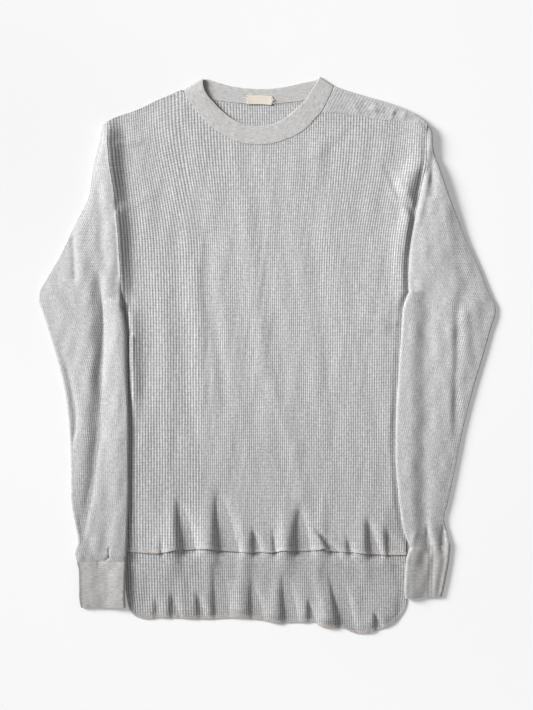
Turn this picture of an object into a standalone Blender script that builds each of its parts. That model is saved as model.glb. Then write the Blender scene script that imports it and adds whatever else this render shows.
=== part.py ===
"""A waffle-knit thermal top laid flat on its back, with every piece its own object.

Tables are in millimetres, seen from above: x to the right, y towards the neck, z up from
the surface that the top lies on. Each piece is a mid-surface that a Solidify gives its
wall. "Wearer's right" is the side at negative x. The meshes are written in metres.
"""

import math

import bpy
import numpy as np

MM = 0.001

# ---- cloth -----------------------------------------------------------------------------
KNIT = 1.6  # wall of the waffle knit
RIB = 2.0  # wall of the doubled jersey in the neckband and cuffs
TAPE = 0.8  # wall of the woven label
GAP = 0.3  # clear space between two pieces that are sewn or lie together

BACK_Z = KNIT / 2  # mid-height of the back, flat on the surface
FRONT_Z = BACK_Z + KNIT + GAP  # mid-height of the front where it lies on the back
OVER_BODY = 2 * (KNIT + GAP)  # lift of a sleeve's underside where it lies on front and back
BAND_Z = RIB / 2  # mid-height of the neckband behind the neck
LABEL_Z = RIB + GAP + TAPE / 2

# ---- outlines: x, y --------------------------------------------------------------------
SHOULDER_RIGHT = (
    (-223.7, 325.4), (-219.4, 328.4), (-205.5, 335), (-192.6, 338.8), (-176.5, 345.2),
    (-153, 356.4), (-119, 371),
)
SHOULDER_SEAM_LEFT = (  # where the front ends, forward of the shoulder
    (77, 340.2), (102.2, 338.1), (130.2, 333.6), (158.2, 328.3), (186.2, 327.2),
    (205.8, 324), (223.9, 312.9),
)
SHOULDER_FOLD_LEFT = (  # where the back turns over to the front
    (94.6, 375.9), (116.2, 368.8), (144.2, 360.5), (172.2, 352.4), (200.2, 340.9),
    (210, 335.3), (219.8, 327.6), (225.4, 322),
)
NECK_BACK = (
    (-119, 371), (-105, 363.3), (-91, 359), (-77, 356.6), (-51.8, 352.8), (-7, 350.7),
    (32.2, 352.8), (57.4, 356.6), (71.4, 361.2), (84, 367.5), (94.6, 373.6),
)
HEM_FRONT = (
    (-200.2, -274.4), (-177.2, -276.4), (-158.6, -277.2), (-142.9, -275.7),
    (-128.7, -272.4), (-105.8, -272.2), (-81.5, -270.8), (-63, -273.6), (-23.8, -275.8),
    (-1, -275.9), (14, -275.2), (21.7, -272.9), (52.1, -273.7), (73.4, -272.2),
    (79.4, -270.6), (85.4, -273.7), (121.8, -275.9), (143.2, -278.2), (173.5, -279.7),
    (194.4, -279.7),
)
HEM_BACK = (
    (-193.9, -351.4), (-191.1, -357.7), (-184.8, -364.7), (-177.2, -367.9),
    (-167.2, -369.3), (-148.7, -367.9), (-114.4, -368.6), (-84.4, -369.6),
    (-37.2, -367.9), (-21.6, -369.6), (-1, -372.3), (15.7, -375.3), (37, -374.6),
    (65.8, -374.1), (74.2, -379.1), (88.5, -381.4), (108.2, -382.9), (118.9, -387.5),
    (128, -389.8), (143.2, -388.2), (162.8, -382.2), (178.1, -374.6), (188.7, -363.2),
    (193.5, -354.2), (195.3, -348.6),
)
# Side seams from the hem up to the armpit, hidden under the sleeves.
SIDE_RIGHT = (
    (-200.2, -274.4), (-201.9, -238), (-202.2, -203), (-201.6, -154), (-201.2, -98),
    (-200.9, -42), (-201.6, 14), (-201.9, 49),
)
SIDE_LEFT = (
    (194.4, -279.7), (196.2, -245), (195.3, -203), (195.3, -149.8), (195.3, -91),
    (196, -30.8), (196.6, 28), (197.4, 68.6),
)
SIDE_LEFT_EXTRA = (196.3, -2)  # one more row for the front, which has no row at the tip
TAIL_RIGHT = ((-193.9, -351.4), (-197.7, -329), (-198, -308), (-198.8, -289.8))
TAIL_LEFT = ((195.3, -348.6), (197.4, -331.8), (198, -312.2), (198.2, -294))
TAIL_CORNER_LEFT = (196.8, -279.7)
TIP_RIGHT = (-223.7, 325.4)
TIP_LEFT = (225.4, 317)

# ---- neckband: seam x, y, free edge x, y, free edge height (the seam is at the front's) --
BAND_FRONT = (
    (-119, 371, -90.5, 387.3, 7.4),
    (-112.7, 361.2, -88.2, 373.1, 7.2),
    (-103.6, 347.5, -81.9, 361.9, 6.4),
    (-92.4, 332.9, -74.9, 354.2, 5.2),
    (-79.1, 319.8, -65.8, 344.4, 4.4),
    (-63, 308.7, -51.8, 332.9, 3.8),
    (-43.4, 299, -36.4, 324.8, 3.4),
    (-21, 294.1, -18.9, 320.7, 3.2),
    (1.4, 294.7, -2.8, 320.9, 3.2),
    (22.4, 299.6, 13.3, 325.1, 3.3),
    (42, 308, 27.3, 333.2, 3.6),
    (58.1, 319.8, 42, 345.5, 4),
    (71.4, 334.6, 54.6, 357.8, 4.2),
    (77, 340.2, 57.4, 362.3, 4.2),
    (81.5, 349.4, 62.3, 370.3, 4.1),
    (87.7, 361.9, 68.6, 380.8, 4.1),
    (94.6, 375.9, 74.2, 389.5, 4.1),
)
BAND_BACK_FREE = (  # seam x (the seam is NECK_BACK), free edge x, y
    (-119, -89.2, 385),
    (-105, -86, 386.2),
    (-91, -80.5, 385.2),
    (-74.2, -68.6, 381.1),
    (-49, -44.8, 375.2),
    (-7, -7, 372.4),
    (32.2, 26.6, 375.5),
    (54.6, 46.2, 380),
    (71.4, 57.4, 382.2),
    (84, 67.9, 384.7),
    (94.6, 74.2, 389.5),
)
# At each end the band is folded: inset along the crease, half-height at seam and free edge.
CREASE_RIGHT = {"inset": 2.5, "seam": 1.35, "free": 3.2}
CREASE_LEFT = {"inset": 1.2, "seam": 1.45, "free": 1.55}
CREASE_DEPTH = 1.8  # most that a fold bulges along the band

# ---- sleeves: outer x, y, inner x, y, height of the top layer above the bottom one at the
# inner edge, the middle and the outer edge, and lift of the bottom layer at the inner edge.
# The first rows, down to the armpit, are open towards the body: their inner point is on
# the armhole seam.
CAP_ROWS = 13
SLEEVE_RIGHT = (
    (-224.1, 324.9, -220.8, 318.4, 6, 7, 6, 0),
    (-228.3, 319.2, -221.3, 314.3, 9, 9.5, 8, 0),
    (-232.1, 311.4, -222, 308, 12, 11, 9, 0),
    (-234.4, 299.6, -222.3, 298.2, 13.5, 12.5, 10, 0),
    (-238, 284.9, -220.9, 284.2, 14, 13, 10, 0),
    (-242.2, 268.8, -219.7, 268.1, 14, 12.5, 9, 0),
    (-246, 245, -215.6, 243.6, 13.5, 12, 8, 0),
    (-251.3, 218.4, -211.7, 217, 13, 11, 7, 0),
    (-263.2, 194.6, -209.6, 191.8, 12.5, 10, 6.5, 0),
    (-277.2, 166.6, -207.3, 165.2, 12.5, 9.5, 6, 0),
    (-290.5, 138.6, -205.7, 138.6, 11.5, 9, 5.5, 0),
    (-305.9, 112, -204, 110.6, 10, 8.5, 5, 0),
    (-320, 83.3, -202.6, 79.8, 9, 8, 5, 0),
    (-319.6, 77, -202.9, 73, 8.5, 7.8, 4.8, OVER_BODY),
    (-317.8, 70.7, -201.7, 65.8, 8, 7.5, 4.6, OVER_BODY),
    (-312.9, 56.7, -198.8, 51.8, 7, 7, 4.6, OVER_BODY),
    (-303.8, 28, -196.1, 23.8, 6.5, 6.5, 4.6, OVER_BODY),
    (-294, -4.2, -195.9, -5.6, 6.2, 6.2, 4.6, OVER_BODY),
    (-284.9, -40.6, -194.6, -40.6, 6, 6, 4.5, OVER_BODY),
    (-279.3, -77, -193.3, -77, 6, 6, 4.5, OVER_BODY),
    (-275.8, -119, -192.8, -119, 6, 6, 4.5, OVER_BODY),
    (-274.4, -161, -192.9, -161, 6, 6, 4.5, OVER_BODY),
    (-273.3, -207.2, -193.3, -207.2, 6, 6, 4.5, OVER_BODY),
    (-268, -238, -194.3, -238, 5.8, 6, 4.5, OVER_BODY),
    (-264.2, -260.4, -195.2, -260.4, 5.6, 6, 4.5, OVER_BODY),
    (-268.4, -277.9, -195.9, -277.9, 5.2, 6, 4.8, OVER_BODY),
    (-266, -288.8, -196.8, -288.8, 4.6, 5, 4.6, 2.1),
)
SLEEVE_LEFT = (
    (227.4, 321.2, 223.9, 312.9, 14, 15, 14, 0),
    (230.8, 313.9, 223.6, 307.3, 14.5, 15.5, 14.5, 0),
    (232.3, 304.5, 223.4, 299.6, 14.5, 16, 15, 0),
    (232.8, 291.9, 223.4, 289.8, 14, 16, 15.5, 0),
    (235.5, 280, 223.2, 278.6, 13, 16, 15.5, 0),
    (240.2, 267.4, 222.2, 266, 12, 15.5, 15, 0),
    (247, 247.8, 218.7, 247.8, 11, 14, 13.5, 0),
    (256.5, 219.8, 212.8, 219.8, 9.5, 12, 11.5, 0),
    (266.7, 193.2, 207.2, 193.2, 8.5, 10, 9.5, 0),
    (276.5, 168, 202.2, 168, 8, 9, 8.5, 0),
    (287, 144.2, 199.2, 144.2, 7.5, 8.5, 7.5, 0),
    (298.2, 119, 197.8, 120.4, 7, 8, 7, 0),
    (310.1, 89.6, 197.4, 95.2, 6.5, 7.5, 6.5, 0),
    (314.5, 79.5, 197.9, 88.5, 6.2, 7.2, 6.2, OVER_BODY),
    (319.2, 71, 195.3, 81.9, 6, 7, 6, OVER_BODY),
    (320.3, 61.7, 191.1, 70, 5.6, 6.8, 6, OVER_BODY),
    (312.2, 32.2, 188.4, 42, 5.2, 6.4, 6, OVER_BODY),
    (303.1, 0, 185.8, 8.4, 5, 6.2, 5.8, OVER_BODY),
    (292.6, -35, 183.3, -29.4, 5, 6, 5.6, OVER_BODY),
    (283.5, -67.9, 181.2, -64.4, 5, 6, 5.6, OVER_BODY),
    (274.4, -105, 179.6, -102.2, 5, 6, 5.6, OVER_BODY),
    (266, -147, 179.3, -141.4, 5, 6, 6, OVER_BODY),
    (258.3, -185.5, 182, -180.6, 5, 6, 6.2, OVER_BODY),
    (252.8, -209.3, 184.7, -207.2, 5, 6, 6.4, OVER_BODY),
    (248.4, -228.2, 187.5, -228.9, 5, 6, 6.6, OVER_BODY),
    (252.7, -247.8, 191, -247.8, 5, 6, 6.8, OVER_BODY),
    (257.3, -264.9, 199.4, -268.2, 4.8, 5.6, 6, OVER_BODY),
)
# ---- cuffs: the same columns; they overlie the tail's edge alone ------------------------
CUFF_RIGHT = (
    (-264.7, -290.1, -197.1, -290.1, 4.6, 5, 4.6, 1.9),
    (-263.2, -301, -197.4, -301, 4.8, 5, 4.6, 1.9),
    (-262.6, -322, -198, -322, 5, 5, 4.6, 1.9),
    (-262.5, -338.8, -198.2, -338.8, 5, 5, 4.6, 1.9),
    (-260.4, -353.2, -197.4, -353.4, 4.6, 4.6, 4.6, 1.9),
)
CUFF_LEFT = (
    (257.8, -266.1, 199.8, -269.8, 4.6, 5.4, 6, 3.6),
    (255.6, -282.8, 194.9, -282.8, 5, 5.6, 6.2, 3.6),
    (253.4, -296.8, 193.2, -296.8, 5, 5.6, 6.2, 1.9),
    (250.3, -313.6, 192.2, -313.6, 5, 5.6, 6.2, 1.9),
    (247, -329, 191.8, -329, 5, 5.6, 6.2, 1.9),
    (244.7, -337.4, 193.1, -340.2, 4.6, 5.2, 5.6, 1.9),
)
CLEAR_OF_EDGE = 4  # how far past the body's edge a bottom layer keeps its full lift
RAMP = 22  # length over which it then comes down to the surface
STATION = ("outer_x", "outer_y", "inner_x", "inner_y", "inner", "middle", "outer", "lift")

# ---- label: centre x, y, width, depth, turn in degrees ----------------------------------
LABEL = {"x": -10.6, "y": 356.6, "width": 35, "depth": 12.5, "turn": -2}

# ---- folds: from x, y to x, y, half width, height ---------------------------------------
FRONT_BED = 1.2  # how far the middle of the front stands clear of the back
FRONT_FOLDS = (
    (-126, 168, -122, 77, 9, -0.9),
    (-122, 77, -105, -105, 10, -0.9),
    (-84, 168, -80, 77, 8, -0.8),
    (-80, 77, -55, -70, 9, -0.8),
    (-102, 120, -88, -60, 9, 0.7),
    (-10, 42, -3, -21, 10, 0.9),
    (-3, -21, 39, -133, 11, 0.9),
    (39, -133, 49, -196, 9, 0.7),
    (-199, 168, -136, 196, 7, 1.0),
    (137, 91, 185, 35, 8, -0.9),
    (140, 56, 160, 40, 9, 1.0),
    (173, 248, 195, 216, 6, -1.0),
    (189, 259, 197, 224, 9, 4.0),
    (196, 200, 199, 150, 8, 2.2),
    (-198, 207, -186, 207, 6, 5.0),
    (-199, 138, -186, 136, 6, 4.0),
)
SHOULDER_RISE = (
    (222, 316, 224, 300, 20, 5.2),
    (168, 333, 220, 320, 15, 2.2),
    (92, 372, 80, 345, 12, 0.6),
    (-119, 371, -110, 358, 12, 0.6),
)
TAIL_FOLDS = (
    (84, -290, 105, -382, 7, -2.2),
    (70, -330, 84, -378, 8, 1.6),
    (-73, -302, -73, -370, 8, -1.2),
    (14, -310, 14, -374, 7, 1.6),
)
SLEEVE_FOLDS = (
    (-244, 129, -229, 52, 7, -2.2),
    (-229, 52, -232, -87, 7, -2.4),
    (-232, -87, -252, -209, 7, -2.4),
    (-252, -209, -260, -252, 6, -1.8),
    (-271, 161, -270, 112, 6, -1.4),
    (-312, 62, -278, -77, 6, -0.9),
    (-215, 60, -212, -100, 9, 0.8),
    (225, 77, 225, -63, 9, -1.8),
    (225, -63, 224, -266, 9, -2.0),
    (251, 105, 253, -91, 9, 1.2),
    (266, 77, 263, -91, 8, -1.6),
    (246, -231, 247, -270, 5, -2.6),
    (231, 279, 231, 225, 6, -2.0),
)
# ---- ruffles along the hems: x and how high the edge stands off what it lies on ---------
RUFFLE_FRONT = (
    (-200, 0), (-190, 0), (-175, 0.6), (-157, 3.2), (-140, 2.4), (-125, 0), (-112, 2.6),
    (-99, 3.8), (-86, 2.6), (-73, 0), (-60, 2.4), (-48, 3.2), (-36, 2.2), (-22, 0),
    (-8, 2.4), (6, 3.4), (20, 2.6), (35, 0), (48, 2.8), (60, 4), (73, 3), (84, 0),
    (98, 3.2), (111, 4.4), (126, 2.6), (139, 0), (154, 2.4), (166, 0.4), (180, 0),
)
RUFFLE_BACK = (
    (-194, 0), (-180, 0.6), (-164, 2.6), (-150, 1.8), (-136, 0), (-126, 2), (-116, 3.2),
    (-106, 2), (-97, 0), (-84, 4), (-74, 0.6), (-66, 0.4), (-50, 4), (-38, 3), (-27, 0),
    (-14, 2.6), (0, 4.2), (13, 3), (25, 0), (36, 2.8), (44, 3.4), (52, 1.6), (57, 0),
    (68, 3.4), (80, 5.6), (92, 4), (105, 0), (116, 4), (127, 5.2), (139, 3.6), (151, 0),
    (163, 2), (175, 2.6), (186, 0.6), (195, 0),
)
RUFFLE_DEPTH = {"front": 30, "back": 44}  # how far up from the hem a ruffle dies away

# ---- colours, roughness -----------------------------------------------------------------
HEATHER = ((0.47, 0.47, 0.48), 0.9)
JERSEY = ((0.50, 0.49, 0.47), 0.88)
ECRU = ((0.80, 0.77, 0.68), 0.85)


# ---- helpers ----------------------------------------------------------------------------
def curve(table, x, column=1):
    """The smooth curve through a table's first column and another, without overshoot."""
    rows = np.array(table, float)
    keys, values = rows[:, 0], rows[:, column]
    step = np.diff(keys)
    slope = np.diff(values) / step
    same_way = slope[:-1] * slope[1:] > 0
    mean = np.where(same_way, (slope[:-1] + slope[1:]) / 2, 0)
    steepest = 3 * np.minimum(abs(slope[:-1]), abs(slope[1:]))
    inner = np.sign(mean) * np.minimum(abs(mean), steepest)
    tangent = np.concatenate([slope[:1], inner, slope[-1:]])
    x = np.clip(x, keys[0], keys[-1])
    i = np.clip(np.searchsorted(keys, x, side="right") - 1, 0, len(step) - 1)
    t = (x - keys[i]) / step[i]
    rise = values[i + 1] - values[i]
    start, end = tangent[i] * step[i], tangent[i + 1] * step[i]
    cubic = start + end - 2 * rise
    return values[i] + t * (start + t * (3 * rise - 2 * start - end + t * cubic))


def ease(t):
    """0 below 0, 1 above 1, and a smooth rise between."""
    t = np.clip(t, 0, 1)
    return t * t * (3 - 2 * t)


def folds_at(x, y, folds):
    """Height of soft ridges and troughs, each along a line from x0, y0 to x1, y1."""
    total = np.zeros(np.shape(x))
    for x0, y0, x1, y1, width, height in folds:
        dx, dy = x1 - x0, y1 - y0
        along = np.clip(((x - x0) * dx + (y - y0) * dy) / (dx * dx + dy * dy), 0, 1)
        away = np.hypot(x - x0 - along * dx, y - y0 - along * dy)
        total = total + height * np.exp(-((away / width) ** 2))
    return total


def piece(name, points, faces, wall, finish):
    """An object from a mid-surface in millimetres, with a wall of even thickness."""
    mesh = bpy.data.meshes.new(name)
    mesh.from_pydata([tuple(MM * v for v in p) for p in points], [], faces)
    mesh.update()
    made = bpy.data.objects.new(name, mesh)
    bpy.context.scene.collection.objects.link(made)
    solid = made.modifiers.new("wall", "SOLIDIFY")
    solid.thickness = wall * MM
    solid.offset = 0
    solid.use_even_offset = True
    solid.use_quality_normals = True
    (red, green, blue), roughness = finish
    material = bpy.data.materials.new(name)
    material.use_nodes = True
    shader = material.node_tree.nodes["Principled BSDF"]
    shader.inputs["Base Color"].default_value = (red, green, blue, 1)
    shader.inputs["Roughness"].default_value = roughness
    shader.inputs["Metallic"].default_value = 0
    mesh.materials.append(material)
    return made


def grid_faces(rows, columns, start=0):
    """Quads of a grid whose points are listed row by row."""
    return [
        (i, i + 1, i + columns + 1, i + columns)
        for r in range(rows - 1)
        for i in range(start + r * columns, start + (r + 1) * columns - 1)
    ]


# ---- front and back ---------------------------------------------------------------------
def armhole(stations):
    """Seam points from the armpit up to the shoulder."""
    return [(row[2], row[3]) for row in reversed(stations[:CAP_ROWS])]


FRONT_EDGES = (
    np.array([*SIDE_RIGHT, *armhole(SLEEVE_RIGHT), TIP_RIGHT]),
    np.array([*SIDE_LEFT[:6], SIDE_LEFT_EXTRA, *SIDE_LEFT[6:], *armhole(SLEEVE_LEFT)]),
)
BACK_EDGES = (
    np.array([*TAIL_RIGHT, *SIDE_RIGHT, *armhole(SLEEVE_RIGHT), TIP_RIGHT]),
    np.array([*TAIL_LEFT, TAIL_CORNER_LEFT, *SIDE_LEFT[1:], *armhole(SLEEVE_LEFT), TIP_LEFT]),
)


def body_x(edges, s, y):
    """x at height y on the column that is s of the way across."""
    right, left = edges
    low = np.interp(y, right[:, 1], right[:, 0]) + GAP / 2
    high = np.interp(y, left[:, 1], left[:, 0]) - GAP / 2
    return low + (high - low) * s


def columns_between(edges, corners, counts):
    """Column positions, with one column at each corner of the top edge."""
    stops = [0]
    for x, y in corners:
        low, high = body_x(edges, 0, y), body_x(edges, 1, y)
        stops.append((x - low) / (high - low))
    stops.append(1)
    parts = [
        np.linspace(a, b, n, endpoint=False) for a, b, n in zip(stops, stops[1:], counts)
    ]
    return np.append(np.concatenate(parts), 1)


def panel(edges, columns, bottom, top):
    """x and y of a grid from the bottom curve to the top curve, rows by columns."""
    right, left = edges
    low, high = np.full(len(columns), right[0, 1]), np.full(len(columns), right[-1, 1])
    for _ in range(30):
        low = bottom(body_x(edges, columns, low))
        high = top(body_x(edges, columns, high))
    ends = [(edge[:, 1] - edge[0, 1]) / (edge[-1, 1] - edge[0, 1]) for edge in (right, left)]
    share = ends[0][:, None] * (1 - columns) + ends[1][:, None] * columns
    y = low + (high - low) * share
    return body_x(edges, columns, y), y


FRONT_CORNERS = ((-119, 371), (77, 340.2))
BACK_CORNERS = ((-119, 371), (94.6, 373.6))
FRONT_COLUMNS = columns_between(FRONT_EDGES, FRONT_CORNERS, (9, 17, 13))
BACK_COLUMNS = columns_between(BACK_EDGES, BACK_CORNERS, (9, 17, 13))


def front_top(x):
    outline = np.where(
        x < FRONT_CORNERS[0][0], curve(SHOULDER_RIGHT, x), curve(BAND_FRONT, x)
    )
    return np.where(x > FRONT_CORNERS[1][0], curve(SHOULDER_SEAM_LEFT, x), outline)


def fold_radius(x):
    """Half the height of the fold over the wearer's left shoulder."""
    return curve(((94, 1.5), (140, 1.9), (180, 2.8), (226, 4.2)), x)


def back_top(x):
    outline = np.where(x < BACK_CORNERS[0][0], curve(SHOULDER_RIGHT, x), curve(NECK_BACK, x))
    turned = curve(SHOULDER_FOLD_LEFT, x) - fold_radius(x) - BACK_Z
    return np.where(x > BACK_CORNERS[1][0], turned, outline)


def front_height(x, y):
    """Mid-height of the front: flat under the sleeves, raised and folded between them."""
    below_armpit = 1 - ease((y - 50) / 60)
    right = x - body_x(FRONT_EDGES, 0, y) - 12 * below_armpit
    left = body_x(FRONT_EDGES, 1, y) - x - 20 * below_armpit
    free = ease(np.minimum(right, left) / (8 + 17 * below_armpit))
    above_hem = y - curve(HEM_FRONT, x)
    ruffle = curve(RUFFLE_FRONT, x) * np.exp(-((above_hem / RUFFLE_DEPTH["front"]) ** 2))
    bed = FRONT_BED * ease(above_hem / 60) * ease((front_top(x) - y) / 50)
    raised = free * (0.4 + np.maximum(bed + ruffle + folds_at(x, y, FRONT_FOLDS), 0))
    return FRONT_Z + raised + folds_at(x, y, SHOULDER_RISE)


def back_height(x, y):
    """Mid-height of the back: flat on the surface, ruffled where the tail shows."""
    side = np.minimum(x - body_x(BACK_EDGES, 0, y), body_x(BACK_EDGES, 1, y) - x)
    shown = ease((side - 8) / 10) * ease((curve(HEM_FRONT, x) - 4 - y) / 14)
    above_hem = y - curve(HEM_BACK, x)
    ruffle = curve(RUFFLE_BACK, x) * np.exp(-((above_hem / RUFFLE_DEPTH["back"]) ** 2))
    return BACK_Z + shown * np.maximum(ruffle + folds_at(x, y, TAIL_FOLDS), 0)


def make_front():
    x, y = panel(FRONT_EDGES, FRONT_COLUMNS, lambda v: curve(HEM_FRONT, v), front_top)
    z = front_height(x, y)
    points = np.stack([x, y, z], axis=-1)
    rows, columns = x.shape
    piece("front", points.reshape(-1, 3), grid_faces(rows, columns), KNIT, HEATHER)
    return points[-1]


def make_back():
    """The back, whose wearer's left shoulder folds forward to the front's seam."""
    x, y = panel(BACK_EDGES, BACK_COLUMNS, lambda v: curve(HEM_BACK, v), back_top)
    z = back_height(x, y)
    rows, columns = x.shape
    points = list(np.stack([x, y, z], axis=-1).reshape(-1, 3))
    faces = grid_faces(rows, columns)

    turned = [c for c in range(columns) if x[-1, c] > BACK_CORNERS[1][0] - 0.01]
    flap = []
    for n, c in enumerate(turned):
        share = n / (len(turned) - 1)
        fold_x = x[-1, c]
        fold = np.array([fold_x, curve(SHOULDER_FOLD_LEFT, fold_x)])
        seam_x = 77 + (223.9 - 77) * share - GAP / 2 * share
        seam = np.array([seam_x, curve(SHOULDER_SEAM_LEFT, seam_x)])
        reach = np.hypot(*(seam - fold))
        along = (seam - fold) / reach
        radius = float(fold_radius(fold_x))
        profile = [
            (BACK_Z + radius * (1 - math.cos(a)), BACK_Z + radius * (1 + math.sin(a)))
            for a in map(math.radians, (-45, 0, 45, 90))
        ]
        seam_z = float(front_height(seam[0], seam[1]))
        first, last = BACK_Z + radius, reach - GAP
        for t in (0.34, 0.67, 1):
            level = BACK_Z + 2 * radius
            profile.append((first + (last - first) * t, level + (seam_z - level) * t))
        flap.append([(*(fold + along * q), height) for q, height in profile])

    deep = len(flap[0])
    start = len(points)
    points += [flap[n][r] for r in range(deep) for n in range(len(turned))]
    top = (rows - 1) * columns
    last_row = [top + c for c in turned]
    for n in range(len(turned) - 1):
        faces.append((last_row[n], last_row[n + 1], start + n + 1, start + n))
    faces += grid_faces(deep, len(turned), start)
    piece("back", points, faces, KNIT, HEATHER)
    neck = [p for p in np.stack([x, y, z], axis=-1)[-1] if p[0] < BACK_CORNERS[1][0] + 0.01]
    neck = [p for p in neck if p[0] > BACK_CORNERS[0][0] - 0.01]
    return neck, [flap[0][r] for r in range(3, deep)]


# ---- sleeves and cuffs ------------------------------------------------------------------
def section(row, wall, open_to_body, body_edge, seam_z):
    """One ring of a flattened tube, from its inner edge round under and back over."""
    at = dict(zip(STATION, row))
    side = math.copysign(1, at["outer_x"] - at["inner_x"])
    inner = np.array([at["inner_x"], at["inner_y"]])
    outer = np.array([at["outer_x"], at["outer_y"]])
    away = (outer - inner) / np.hypot(*(outer - inner))
    if open_to_body:
        inner = inner + np.array([side * (GAP / 2 + wall / 2), 0])
    else:
        inner = inner + away * wall / 2
    outer = outer - away * wall / 2
    width = np.hypot(*(outer - inner))
    over = (body_edge - inner[0]) * side  # how much of the body lies under the sleeve

    inner_half = min(at["inner"] / 2, 0.42 * width)
    outer_half = min(at["outer"] / 2, 0.42 * width)
    edge = max(over + CLEAR_OF_EDGE, inner_half + 1)

    def under(q):
        return wall / 2 + at["lift"] * (1 - ease((q - edge) / RAMP))

    def above(q):
        t = q / width
        gap = at["inner"] * (1 - t) + at["outer"] * t
        gap += (at["middle"] - (at["inner"] + at["outer"]) / 2) * 4 * t * (1 - t)
        x, y = inner + away * q
        crease = folds_at(x, y, SLEEVE_FOLDS) * 4 * t * (1 - t)
        return under(q) + max(gap + crease, wall + 0.8)

    end = width - outer_half
    ramp = [edge + RAMP * t for t in (0, 1 / 3, 2 / 3, 1)]
    below = [inner_half, *ramp, (ramp[-1] + end) / 2, end]
    if open_to_body:
        inner_half = min(3, 0.42 * width)
        below = np.linspace(-wall / 2, end, 7)
    ring = [(q, under(q)) for q in below]
    low, high = ring[-1][1], above(width - outer_half)
    for a in map(math.radians, (-45, 0, 45)):
        q = width - outer_half + outer_half * math.cos(a)
        ring.append((q, (low + high) / 2 + (high - low) / 2 * math.sin(a)))
    ring += [(q, above(q)) for q in np.linspace(width - outer_half, inner_half, 11)]
    high = ring[-1][1]
    if open_to_body:
        drop = min(3, 0.8 * (high - seam_z))
        for a in map(math.radians, (45, 0)):
            ring.append((inner_half * (1 - math.cos(a)), high - drop * (1 - math.sin(a))))
        ring.append((0, seam_z))
    else:
        low = ring[0][1]
        for a in map(math.radians, (45, 0, -45)):
            q = inner_half * (1 - math.cos(a))
            ring.append((q, (low + high) / 2 + (high - low) / 2 * math.sin(a)))
    return [(*(inner + away * q), z) for q, z in ring]


def make_tube(name, stations, open_rows, wall, finish):
    """A sleeve or cuff through its sections. The first open_rows are open at the body."""
    points, faces = [], []
    for number, row in enumerate(stations):
        x, y = row[2:4]
        edges = BACK_EDGES[0 if x < 0 else 1]
        body_edge = np.interp(y, edges[:, 1], edges[:, 0])
        seam_z = float(front_height(x - math.copysign(GAP / 2, x), y)) - 2 * GAP
        is_open = number < open_rows
        points += section(row, wall, is_open, body_edge, seam_z)
    around = len(points) // len(stations)
    for number in range(len(stations) - 1):
        start = number * around
        closes = number >= open_rows
        for i in range(around if closes else around - 1):
            j = (i + 1) % around
            faces.append((start + i, start + j, start + around + j, start + around + i))
    if stations[0][0] < 0:
        faces = [face[::-1] for face in faces]
    piece(name, points, faces, wall, finish)


# ---- neckband and label -----------------------------------------------------------------
def crease(seam, free, outward, shape, angles):
    """Sections of the band round one of its folded ends."""
    seam, free = np.array(seam, float), np.array(free, float)
    along = (free - seam) / np.hypot(*(free - seam))
    normal = np.array([-along[1], along[0]]) * outward
    rows = []
    for a in map(math.radians, angles):
        ends = []
        for corner, radius in (
            (seam + along * shape["inset"], shape["seam"]),
            (free, shape["free"]),
        ):
            inward = RIB / 2 + min(radius, CREASE_DEPTH) * (1 - math.cos(a))
            z = BAND_Z + radius * (1 + math.sin(a))
            ends.append(np.array([*(corner - normal * inward), z]))
        rows.append(ends)
    return rows


def band_section(seam, free, stand_off):
    """Seam and free end of a flat section, the seam just clear of the panel's edge."""
    seam, free = np.array(seam, float), np.array(free, float)
    along = (free - seam)[:2] / np.hypot(*(free - seam)[:2])
    seam[:2] += along * stand_off
    return [seam, free]


def make_neckband(front_edge, back_edge, flap_edge):
    sections = []
    front = [p for p in front_edge if FRONT_CORNERS[0][0] + 3 < p[0]]
    front = [p for p in front if p[0] < FRONT_CORNERS[1][0] + 0.01]
    for x, y, z in front + list(reversed(flap_edge))[1:-1]:
        free = [curve(BAND_FRONT, x, column) for column in (2, 3, 4)]
        sections.append(band_section((x, y, z), free, 2 * GAP))
    angles = (90, 60, 30, 0, -30, -60, -90)
    last, first = BAND_FRONT[-1], BAND_FRONT[0]
    sections += crease(last[:2], last[2:4], -1, CREASE_LEFT, angles)
    for x, y, _ in [p for p in reversed(back_edge)][1:-1]:
        free = [curve(BAND_BACK_FREE, x, column) for column in (1, 2)]
        sections.append(band_section((x, y, BAND_Z), (*free, BAND_Z), 2 * GAP))
    sections += crease(first[:2], first[2:4], 1, CREASE_RIGHT, angles[::-1])

    across = (0, 0.33, 0.67, 1)
    points = [seam + (free - seam) * t for seam, free in sections for t in across]
    wide, count = len(across), len(sections)
    faces = []
    for n in range(count):
        here, there = n * wide, (n + 1) % count * wide
        for i in range(wide - 1):
            faces.append((here + i, there + i, there + i + 1, here + i + 1))
    piece("neckband", points, faces, RIB, JERSEY)


def make_label():
    turn = math.radians(LABEL["turn"])
    points = []
    for v in np.linspace(-0.5, 0.5, 3):
        for u in np.linspace(-0.5, 0.5, 6):
            dx, dy = u * LABEL["width"], v * LABEL["depth"]
            x = LABEL["x"] + dx * math.cos(turn) - dy * math.sin(turn)
            y = LABEL["y"] + dx * math.sin(turn) + dy * math.cos(turn)
            points.append((x, y, LABEL_Z))
    piece("label", points, grid_faces(3, 6), TAPE, ECRU)


# ---- the top ----------------------------------------------------------------------------
for old in list(bpy.data.objects):
    bpy.data.objects.remove(old)

front_edge = make_front()
back_edge, flap_edge = make_back()
make_tube("sleeve_right", SLEEVE_RIGHT, CAP_ROWS - 1, KNIT, HEATHER)
make_tube("sleeve_left", SLEEVE_LEFT, CAP_ROWS - 1, KNIT, HEATHER)
make_tube("cuff_right", CUFF_RIGHT, 0, RIB, JERSEY)
make_tube("cuff_left", CUFF_LEFT, 0, RIB, JERSEY)
make_neckband(front_edge, back_edge, flap_edge)
make_label()
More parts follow.
